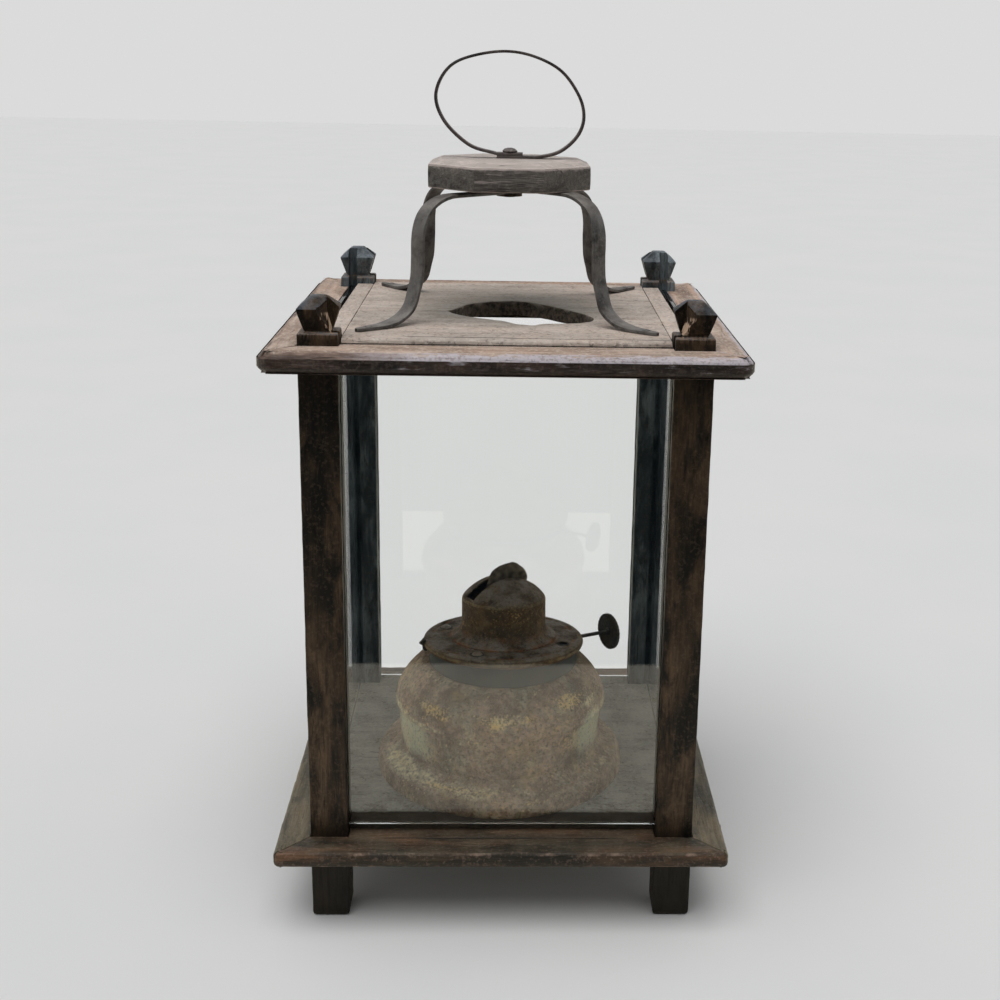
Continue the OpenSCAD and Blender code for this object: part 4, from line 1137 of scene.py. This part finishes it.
def strap(line, width, thick, widen, seed):
    """Bends a flat strap along a line of (x, z), with its width along y."""
    rings, edges = [], []
    n = len(line)
    corner = min(0.35, thick * 0.3)
    section = []
    for su, sv, first in ((1, 1, 0), (-1, 1, 90), (-1, -1, 180), (1, -1, 270)):
        for k in range(3):
            a = math.radians(first + 45 * k)
            section.append((su, sv, corner * math.cos(a), corner * math.sin(a)))
    for i, (x, z) in enumerate(line):
        a, b = line[max(i - 1, 0)], line[min(i + 1, n - 1)]
        tx, tz = b[0] - a[0], b[1] - a[1]
        size = math.hypot(tx, tz)
        nx, nz = -tz / size, tx / size
        w = width * widen(i / (n - 1)) / 2
        ring = []
        for su, sv, du, dv in section:
            across = su * (w - corner) + du
            out = sv * (thick / 2 - corner) + dv
            p = (x, across, z)
            across += 0.22 * rough(p, 16, seed) + 0.1 * rough(p, 4, seed + 1)
            out += 0.05 * rough(p, 10, seed + 2)
            ring.append((x + nx * out, across, z + nz * out))
        rings.append(ring)
        edges.append([0.75] * len(section))
    shape = Shape()
    shape.tube(rings, edges)
    return shape


def leg_line(top):
    """One leg of a strap, from the tip of its foot up to the plate's underside."""
    return [(107.8, 1.0), (97.8, 1.0), (88.8, 1.3), (80, 3.4), (72.5, 8.7), (69, 17.5), (67, 24),
            (66.2, top - 32), (66, top - 20), (64, top - 12.2), (60, top - 6.4), (54, top - 2.5),
            (47, top - 0.4), (40, top)]


def strap_arch(name, turn, drop, seed):
    """One strap from foot to foot, over the middle under the plate."""
    top = 67.2 - STRAP_T / 2 - drop
    leg = smooth_line(leg_line(top), 5)
    bridge = [(x, top) for x in (30, 20, 10, 0, -10, -20, -30)]
    line = leg + bridge + [(-x, z) for x, z in reversed(leg)]

    def widen(t):
        end = min(t, 1 - t)
        return 0.2 + 0.8 * min(1.0, end / 0.075) ** 0.6

    shape = strap(line, STRAP_W, STRAP_T, widen, seed)
    shape.moved(lambda p: turned((p[0], p[1], p[2] + ROOF_Z[1]), turn))
    make_piece("forged_" + name, shape, "cage", STRAP_IRON, [name])


strap_arch("strap_arch_upper", -45, 0.0, 51.0)
strap_arch("strap_arch_lower", 45, STRAP_T + 0.1, 57.0)


def ring_line():
    """The bent ring, from one lapped end round to the other."""
    low, high, a, h = 0.85, 2.38, 40.5, 56.0
    return smooth_line([(-7, low), (7, low), (a * 0.42, low + 0.3), (a * 0.68, h * 0.075), (a * 0.9, h * 0.22),
                        (a * 0.98, h * 0.40), (a * 0.9, h * 0.61), (a * 0.64, h * 0.84), (a * 0.2, h * 0.975),
                        (-a * 0.26, h * 0.985), (-a * 0.76, h * 0.87), (-a * 0.98, h * 0.61),
                        (-a * 0.88, h * 0.35), (-a * 0.55, h * 0.125), (-9, high + 0.5), (-5, high),
                        (7, high)], 9)


shape = strap(ring_line(), RING_W, RING_T, lambda t: 1.0 - 0.12 * math.cos(6.28 * t), 61.0)
shape.moved(lambda p: (p[0], p[1], p[2] + PLATE_Z[1]))
make_piece("bent_carrying_ring", shape, "carrying_ring", RING_IRON, ["ring"])


# The lamp

GOLD_PLACES = [(-41, 57.5, 105, 12, 4, 1.0), (-33, 58, 103, 7, 4, 0.7), (2, 57, 104.5, 15, 5, 0.8),
               (-1, 58.5, 102.5, 7, 2.6, 1.3), (16, 57, 105, 10, 3, 0.8), (44, 54, 108, 15, 6, 0.9),
               (-24, 65, 65.6, 26, 3.0, 0.8), (-62, 62, 67, 20, 3, 0.5), (110, 57, 104, 18, 6, 0.9),
               (160, 55, 108, 12, 5, 0.8), (-130, 57, 104, 22, 5, 0.9), (150, 64, 66, 28, 3.5, 0.8),
               (-105, 58, 80, 9, 7, 0.5), (36, 58, 86, 7, 9, 0.5), (-12, 58, 92, 10, 2.2, 0.5),
               (8, 69.5, 61.5, 20, 3, 0.4)]
# Bare grey tin, and on the drum's left and right a painted side light
GREY_AND_SIDE_LIGHT_PLACES = [(-58, 58, 84, 26, 16, 1.5), (62, 58, 86, 24, 16, 1.3), (-90, 58, 82, 18, 12, 1.0),
               (-26, 58, 84, 16, 10, 0.6), (130, 58, 84, 25, 14, 0.9), (-150, 58, 82, 22, 13, 0.8),
               (-75, 66, 65, 30, 5, 0.7), (0, 37, 118, 60, 7, 0.8), (180, 37, 118, 60, 8, 0.9),
               (-66, 54, 108, 14, 6, 0.6)]
# Pale worn tin, and painted light on the foot's upper slope and along the lip, most of it on the left
PALE_AND_LIGHT_PLACES = [(-56, 64, 66.5, 36, 7.5, 1.6), (-18, 65, 66, 30, 6.0, 1.1), (14, 66, 65, 16, 4.0, 0.6),
               (62, 65, 66.5, 28, 3.6, 0.8), (-46, 60.2, 94.8, 20, 1.7, 1.6), (-72, 60.2, 96, 20, 2.4, 1.2),
               (78, 60, 96, 18, 4.0, 0.9), (58, 57, 104, 14, 5, 0.8), (170, 64, 66, 40, 5, 0.8),
               (120, 60.2, 94.5, 30, 1.1, 0.8), (-56, 46, 115.5, 26, 2.6, 0.7)]
DENTS = [(-35, 76, 13, 0.5), (28, 88, 10, 0.45), (75, 78, 15, 0.6), (140, 84, 14, 0.7),
         (-120, 80, 16, 0.6), (12, 104, 9, 0.35), (-60, 106, 8, 0.4), (100, 103, 10, 0.5),
         (-160, 104, 9, 0.45), (-12, 60, 10, 0.35)]


def raised_seam(p):
    """Lifts the drum's sheet a little where its ends overlap, behind the lamp's left side."""
    on_seam = abs(math.degrees(math.atan2(p[1], p[0])) - 96) <= 2.6 and p[0] ** 2 + p[1] ** 2 >= 3300
    return (p[0] * 1.007, p[1] * 1.007, p[2]) if on_seam else p


def vessel_piece(name, line, arris, thick, z, nodes, seed, seam=False):
    """A turned sheet of the oil vessel, dented and stained as the whole vessel is, with painted light on its
    sides.
    """
    section = sheet_section(line, thick)
    shape = lathe(section, 192, wobble=0.16, size=24, seed=seed, arris=arris + [0.0] * len(line))
    if seam:
        shape.moved(raised_seam)
    shape.moved(at_lamp(z))
    shape.points = dent(shape.points, DENTS)
    marks = {"gold": splashes(shape.points, GOLD_PLACES), "bare": splashes(shape.points, GREY_AND_SIDE_LIGHT_PLACES),
             "pale": splashes(shape.points, PALE_AND_LIGHT_PLACES)}
    make_piece(name, shape, "lamp", FONT_TIN, nodes, marks=marks)


def vessel():
    """Flared foot, drum, and domed top with its folded lip."""
    line = smooth_line([(70.6, 0.0), (70.9, 0.7), (70.95, 2.4), (70.7, 5.4), (69.9, 8.0), (68.9, 9.6),
                        (68.2, 10.25), (66.4, 11.15), (62.9, 12.75), (60.4, 14.1), (58.7, 15.4),
                        (57.85, 16.5)], 4)
    arris = [0.5 if z < 1.0 or abs(z - 9.9) < 0.7 else 0.1 for _, z in line]
    vessel_piece("flared_foot", line, arris, 1.0, FONT_Z, ["font_foot"], 71.0)
    line = [(57.65 + 1.25 * k / 12, 16.4 + 26.6 * k / 12) for k in range(13)]
    vessel_piece("vessel_drum", line, [0.2] * len(line), 0.9, FONT_Z, ["font_drum"], 71.0, seam=True)
    line = smooth_line([(59.1, 40.0), (59.9, 39.85), (60.35, 40.3), (60.5, 41.2), (60.35, 42.3), (60.0, 43.1),
                        (59.85, 44.0), (59.6, 46.0), (58.9, 48.5), (56.8, 52.5), (54.2, 55.9), (50.3, 60.1),
                        (47.5, 62.8), (44.8, 64.3), (42.6, 64.7), (38.0, 64.72), (31.6, 64.7)], 4)
    arris = [0.4 if 40.1 < z < 42.6 else 0.5 if 62.5 < z < 64.6 else 0.0 for _, z in line]
    vessel_piece("domed_top", line, arris, 0.8, 53.5, ["font_dome"], 75.0)


def punch(shape, middle, radius, seed):
    """Tears a hole through an open turned surface round a point (x, y)."""
    inside = set()
    for index, face in enumerate(shape.faces):
        x = sum(shape.points[i][0] for i in face) / len(face) - middle[0]
        y = sum(shape.points[i][1] for i in face) / len(face) - middle[1]
        if math.hypot(x, y) < radius:
            inside.add(index)
    torn = {i for index in inside for i in shape.faces[index]}
    kept = [face for index, face in enumerate(shape.faces) if index not in inside]
    rim = torn & {i for face in kept for i in face}
    for i in rim:
        x, y, z = shape.points[i]
        dx, dy = x - middle[0], y - middle[1]
        size = math.hypot(dx, dy)
        reach = radius * (1.0 + 0.22 * rough((x, y, 0), 1.6, seed))
        shape.points[i] = (middle[0] + dx / size * reach, middle[1] + dy / size * reach,
                           z + 0.35 * abs(rough((x, y, 3), 1.3, seed)))
        shape.arris[i] = 1.0
    shape.faces = kept


def burner_plate():
    """Round plate with a rolled rim, a groove inside it, and the torn hole of the lost rivet."""
    bead = [(43.4 + 2.5 * math.cos(math.radians(a)), 3.5 + 2.5 * math.sin(math.radians(a)))
            for a in range(-165, 121, 15)]
    flat = [(41.5, 5.5), (41.0, 5.38), (40.4, 5.5), (39.7, 5.85), (39.0, 6.0)]
    flat += [(38.2 - 0.8 * k, 6.0) for k in range(12)] + [(28.6, 6.0)]
    line = bead + flat
    creases = [1.0 if r > 42.5 and z < 2.2 or 40.2 < r < 41.8 and z > 5.0 else 0.8 if r < 31.2 else 0.0
               for r, z in line]
    arris = [0.7 if r > 42.4 and z > 5.2 or r > 45.6 else 0.0 for r, z in line]
    shape = lathe(line, 240, closed=False, wobble=0.14, size=18, seed=81.0, arris=arris)
    rivets = [turned((RIVET_CIRCLE, 0, 0), degrees) for degrees in RIVET_TURNS]
    punch(shape, rivets[-1], 2.8, 83.0)
    crease = [value for value in creases for _ in range(240)]
    # Painted shade: a dark ring round each rivet and round the torn hole
    rivet_shade = []
    for x, y, _ in shape.points:
        near = min(math.hypot(x - at[0], y - at[1]) for at in rivets)
        rivet_shade.append(0.85 * max(0.0, min(1.0, (4.3 - near) / 0.8)))
    shape.moved(in_head)
    make_piece("rolled_burner_plate", shape, "burner", BURNER_TIN, ["burner_plate"],
               marks={"crease": crease, "rivet_shade": rivet_shade}, thick=0.95)


def rim_catch():
    """A small square catch that stands up beside the rim."""
    outline = [(44.4, -0.4), (46.0, -0.4), (46.6, 2.7), (49.0, 4.4), (46.3, 7.3), (44.8, 6.0)]
    shape = board(outline, -1.1, 1.1, 0.3, 0.3, wear=0.1, seed=89.0, step=0.8)
    shape.moved(lambda p: in_head(turned((p[0], -p[2], p[1]), 192)))
    make_piece("square_rim_catch", shape, "burner", WHEEL_IRON, ["rim_tab"])


def slot_cut(bm):
    """Cuts the wick's slot through the deflector's crown, in the frame turned along the spindle."""
    def planes(co, no):
        geom = bm.verts[:] + bm.edges[:] + bm.faces[:]
        bmesh.ops.bisect_plane(bm, geom=geom, dist=1e-7, plane_co=co, plane_no=no)

    def placed(p):
        return Vector(in_head(along_spindle(p))) * MM

    middle = placed((0, 0, SLOT_MIDDLE))
    along = placed((1, 0, SLOT_MIDDLE)) - middle
    across = placed((0, 1, SLOT_MIDDLE)) - middle
    up = placed((0, 0, SLOT_MIDDLE + 1)) - middle
    for side, reach in ((-1, SLOT_BACK), (1, SLOT_FRONT)):
        planes(middle + across * reach * side, across)
        planes(middle + along * SLOT_HALF * side, along)
    planes(middle - up * SLOT_FLOOR, up)
    gone = []
    for face in bm.faces:
        away = (face.calc_center_median() - middle) / (MM * MM)
        if (abs(away.dot(along)) < SLOT_HALF and -SLOT_BACK < away.dot(across) < SLOT_FRONT
                and away.dot(up) > -SLOT_FLOOR):
            gone.append(face)
    bmesh.ops.delete(bm, geom=gone, context="FACES")


def deflector():
    """Skirt, concave flare, cylinder, rounded shoulder and slotted crown."""
    line = smooth_line([(30.5, 0.1), (30.35, 0.5), (29.7, 1.1), (28.2, 1.9), (26.6, 3.0), (25.5, 4.2),
                        (24.8, 5.3), (24.2, 6.6), (24.0, 7.8)], 3)
    line += [(24.0, 8.6 + 0.95 * k) for k in range(14)]
    line += smooth_line([(24.0, 21.9), (23.95, 22.6), (23.6, 23.5), (22.9, 24.6), (21.4, 26.2), (18.0, 29.2),
                         (13.2, 32.3), (8.6, 34.3), (3.8, 35.35), (0.6, 35.5), (0.0, 35.5)], 3)
    creases = [1.0 if z < 1.4 else 0.35 if 3.0 < z < 6.5 else 0.0 for _, z in line]
    arris = [0.75 if 22.2 < z < 24.0 else 0.4 if z < 0.6 else 0.0 for _, z in line]
    shape = lathe(line, 180, closed=False, wobble=0.16, size=14, seed=87.0, arris=arris)
    crease = [value for value in creases for _ in range(180)]
    shape.moved(lambda p: in_head(along_spindle((p[0], p[1], p[2] + DOME_SEAT))))
    make_piece("slotted_deflector", shape, "dome", BURNER_TIN, ["deflector"], marks={"crease": crease},
               thick=0.8, cut=slot_cut)


def wick():
    """A woven tape with a charred, swollen tip that leans to one side."""
    left = [(WICK_FOOT, -12.7), (33.4, -12.7), (35.7, -11.5), (38.6, -10.9), (41.1, -9.9), (43.9, -8.3),
            (46.2, -5.6), (47.6, -3.0), (48.5, 1.0), (48.9, 4.6)]
    right = [(WICK_FOOT, 12.7), (34.2, 12.7), (36.4, 14.7), (38.4, 15.6), (40.8, 15.0), (43.2, 13.8),
             (45.6, 11.5), (47.3, 9.3), (48.4, 7.2), (48.9, 5.4)]

    def at(line, h):
        for (h0, a0), (h1, a1) in zip(line, line[1:]):
            if h <= h1:
                return a0 + (a1 - a0) * (h - h0) / (h1 - h0)
        return line[-1][1]

    heights = [WICK_FOOT + 1.5 * k for k in range(36)] + [16 + 0.42 * k for k in range(78)] + [48.8]
    across, rings, marks = 48, [], {"across": [], "along": []}
    for h in heights:
        a, b = at(left, h), at(right, h)
        top = max(0.0, h - 44.5) / 4.3
        swell = 1.0 + 1.15 * math.exp(-((h - 43.8) / 4.6) ** 2)
        half = 1.15 * swell * math.sqrt(max(0.02, 1 - top * top))
        ring = []
        for side in (-1, 1):
            for k in range(across + 1):
                t = k / across if side < 0 else 1 - k / across
                x = a + (b - a) * t
                edge = math.sqrt(max(0.0, 1 - abs(2 * t - 1) ** 7))
                weave = 0.1 * math.sin(x * 3.7) * math.sin(h * 5.2)
                char = min(1.0, max(0.0, (h - 38) / 8))
                bump = weave * (1 - char) + 0.45 * char * rough((x, side * 3, h), 2.6, 91.0)
                bump += 0.2 * char * rough((x, side * 3, h), 1.1, 93.0)
                x += 0.35 * char * rough((side, x, h), 2.0, 95.0)
                ring.append((x, side * edge * max(0.05, half + bump),
                             h + 0.3 * char * rough((x, h, side), 2.5, 97)))
                marks["across"].append(x)
                marks["along"].append(h)
        rings.append(ring)
    shape = Shape()
    shape.tube(rings)
    for key, value in (("across", 0.0), ("along", WICK_FOOT), ("across", 5.0), ("along", 48.8)):
        marks[key].append(value)
    shape.moved(lambda p: in_head(along_spindle(p)))
    make_piece("woven_wick", shape, "wick_band", WICK_COTTON, ["wick"], marks=marks, sharp=60)


vessel()
burner_plate()
rim_catch()
deflector()
wick()


# Nails and rivets

def hammered(shape, x, y, z, radius, height, shank, shank_r, seed, sides=9):
    """A hand-made nail or rivet: a head of uneven facets on a round shank."""
    profile = [(shank_r, -shank), (shank_r, -0.1), (radius * 0.96, 0.0), (radius, height * 0.3),
               (radius * 0.72, height * 0.78), (radius * 0.3, height)]
    rings = []
    for r, h in profile:
        ring = []
        for k in range(sides):
            a = 2 * math.pi * k / sides + 0.4 * seed
            d = 1.0 if r <= shank_r else 1.0 + 0.14 * rough((k, r, h), 1.3, seed)
            ring.append((x + r * d * math.cos(a), y + r * d * math.sin(a),
                         z + h + (0.1 * rough((k, h, 1), 1.5, seed) if h > 0.2 else 0.0)))
        rings.append(ring)
    shape.tube(rings, [[0.0] * sides] * 3 + [[0.9] * sides] * 3)


def nails():
    """The nails in the straps' feet and the rivet that the ring turns on."""
    shape = Shape()
    at = STRAP_NAIL_OUT / math.sqrt(2)
    for k, (sx, sy) in enumerate(((-1, -1), (1, -1), (-1, 1), (1, 1))):
        hammered(shape, sx * at, sy * at, ROOF_Z[1] + STRAP_T + 0.1, 2.1, 0.6, 14.0, 1.5, 101.0 + k, sides=7)
    make_piece("hammered_strap_nails", shape, "cage", STRAP_IRON, ["strap_nails"], sharp=18)
    shape = Shape()
    top, foot = PLATE_Z[1] + 3.23, RIVET_FOOT
    hammered(shape, 0, 0, top, 4.1, 2.3, top - foot, 2.4, 107.0, sides=11)
    hammered(shape, 0, 0, foot, 3.6, 1.0, 0.1, 2.3, 109.0, sides=10)
    make_piece("hammered_ring_rivet", shape, "cage", RING_IRON, ["ring_rivet"], sharp=18)


nails()


# Solids that stay

def dress(node, material, bevel=0.2):
    """Gives a solid that stays its finish and breaks its edges a little."""
    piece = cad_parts[node]
    piece.data.materials.clear()
    piece.data.materials.append(material)
    rounding = piece.modifiers.new("broken edges", "BEVEL")
    rounding.width = bevel * MM
    rounding.segments = 2
    rounding.limit_method = "ANGLE"
    rounding.angle_limit = math.radians(35)
    piece.data.shade_smooth()
    piece.data.set_sharp_from_angle(angle=math.radians(35))


for node in ("batten_front", "batten_back"):
    dress(node, BATTEN_WOOD, 0.5)
for node in ("base_nails", "rivet_washer"):
    dress(node, NAIL_IRON)
dress("font_bottom", FONT_TIN)
for node in ("filler_collar", "wick_tube", "wick_wheels"):
    dress(node, DULL_BRASS)
dress("burner_rivets", GLINTING_RIVET_TIN)
dress("burner_base", SHADED_CONE_TIN)
dress("spindle", WHEEL_IRON)
dress("thumbwheel", WHEEL_IRON)


# Stage and light

BACKDROP = (219, 219, 219)
THROUGH_GLASS = (238, 236, 237)


def seen_through(t):
    """1 for what the camera sees straight through glass."""
    path = t.node("ShaderNodeLightPath").outputs
    bounced = t.plus(path["Diffuse Depth"], path["Glossy Depth"])
    return t.times(path["Is Transmission Ray"], t.maths("LESS_THAN", bounced, 0.5))


def floor_material():
    """A pale table: its shadows are the object's, its colour is the backdrop's, also as glass shows it."""
    material, t, shader = new_material("pale table")
    where = t.where()
    through, glossy = seen_through(t), t.node("ShaderNodeLightPath").outputs["Is Glossy Ray"]
    colour = t.mix(t.band(t.noise(where, 5.0, 3.0), 0.3, 0.7), (219, 219, 219), (221, 221, 220))
    colour = t.mix(glossy, colour, (252, 244, 226))
    colour = t.mix(through, colour, (112, 112, 112))
    roughness = t.band(t.noise(where, 40.0), 0, 1, 0.75, 0.85)
    finish_with(t, shader, colour, roughness, t.noise(where, 200.0), 0.02)
    t.tree.links.new(t.mix(through, (0, 0, 0), (208, 206, 206)), shader.inputs["Emission Color"])
    shader.inputs["Emission Strength"].default_value = 1.0
    shader.inputs["Specular IOR Level"].default_value = 0.1
    return material


def stage():
    """The table, and a studio that differs for the camera, the glass and the light."""
    mesh = bpy.data.meshes.new("table")
    wide, front, back = 6.0, -0.424, 9.0
    corners = [(x, y, 0) for x, y in square(-wide, front, wide, back)]
    mesh.from_pydata(corners, [], [(0, 1, 2, 3)])
    table = bpy.data.objects.new("table", mesh)
    bpy.context.scene.collection.objects.link(table)
    mesh.materials.append(floor_material())
    world = bpy.data.worlds.new("studio")
    world.use_nodes = True
    world.node_tree.nodes.clear()
    t = Tree(world.node_tree)
    path = t.node("ShaderNodeLightPath").outputs
    up = t.node("ShaderNodeSeparateXYZ", {0: t.node("ShaderNodeTexCoord").outputs["Generated"]}).outputs
    studio = t.mix(t.band(up["Y"], -0.6, 0.7), (34, 44, 48), (196, 196, 196))
    colour = t.mix(seen_through(t), t.mix(path["Is Camera Ray"], studio, BACKDROP), THROUGH_GLASS)
    background = t.node("ShaderNodeBackground", {"Color": colour, "Strength": 1.0})
    t.node("ShaderNodeOutputWorld", {"Surface": background.outputs[0]})
    bpy.context.scene.world = world


def sun(name, azimuth, elevation, strength, softness, colour=(1, 1, 1)):
    """A wide soft lamp; azimuth 0 shines from the front, 90 from the right."""
    data = bpy.data.lights.new(name, "SUN")
    data.energy, data.angle, data.color = strength, math.radians(softness), colour
    lamp = bpy.data.objects.new(name, data)
    a, e = math.radians(azimuth), math.radians(elevation)
    towards = Vector((math.sin(a) * math.cos(e), -math.cos(a) * math.cos(e), math.sin(e)))
    lamp.rotation_euler = towards.to_track_quat("Z", "Y").to_euler()
    bpy.context.scene.collection.objects.link(lamp)


def camera():
    """The photograph's viewpoint, fitted to the square frames."""
    focal, cx, cy = 1422.36, 560.44, 444.33
    pitch, yaw, roll = (math.radians(a) for a in (15.20, 2.14, 1.19))
    forward = Vector((math.sin(yaw) * math.cos(pitch), math.cos(yaw) * math.cos(pitch), -math.sin(pitch)))
    right = Vector((math.cos(yaw), -math.sin(yaw), 0))
    up = right.cross(forward)
    across = math.cos(roll) * right + math.sin(roll) * up
    above = -math.sin(roll) * right + math.cos(roll) * up
    data = bpy.data.cameras.new("photograph")
    data.sensor_width = 36.0
    data.lens = focal * 36.0 / 1000
    data.shift_x = (500 - cx) / 1000
    data.shift_y = (cy - 500) / 1000
    data.clip_start = 0.01
    view = bpy.data.objects.new("photograph", data)
    turn = Matrix((across, above, -forward)).transposed()
    view.matrix_world = Matrix.Translation(Vector((1.40, -784.83, 452.80)) * MM) @ turn.to_4x4()
    bpy.context.scene.collection.objects.link(view)
    bpy.context.scene.camera = view


camera()
stage()
sun("overhead", -20, 72, 1.9, 50)
sun("left fill", -55, 30, 0.35, 60)
sun("right fill", 60, 35, 0.3, 60)
bpy.context.scene.view_settings.view_transform = "Standard"
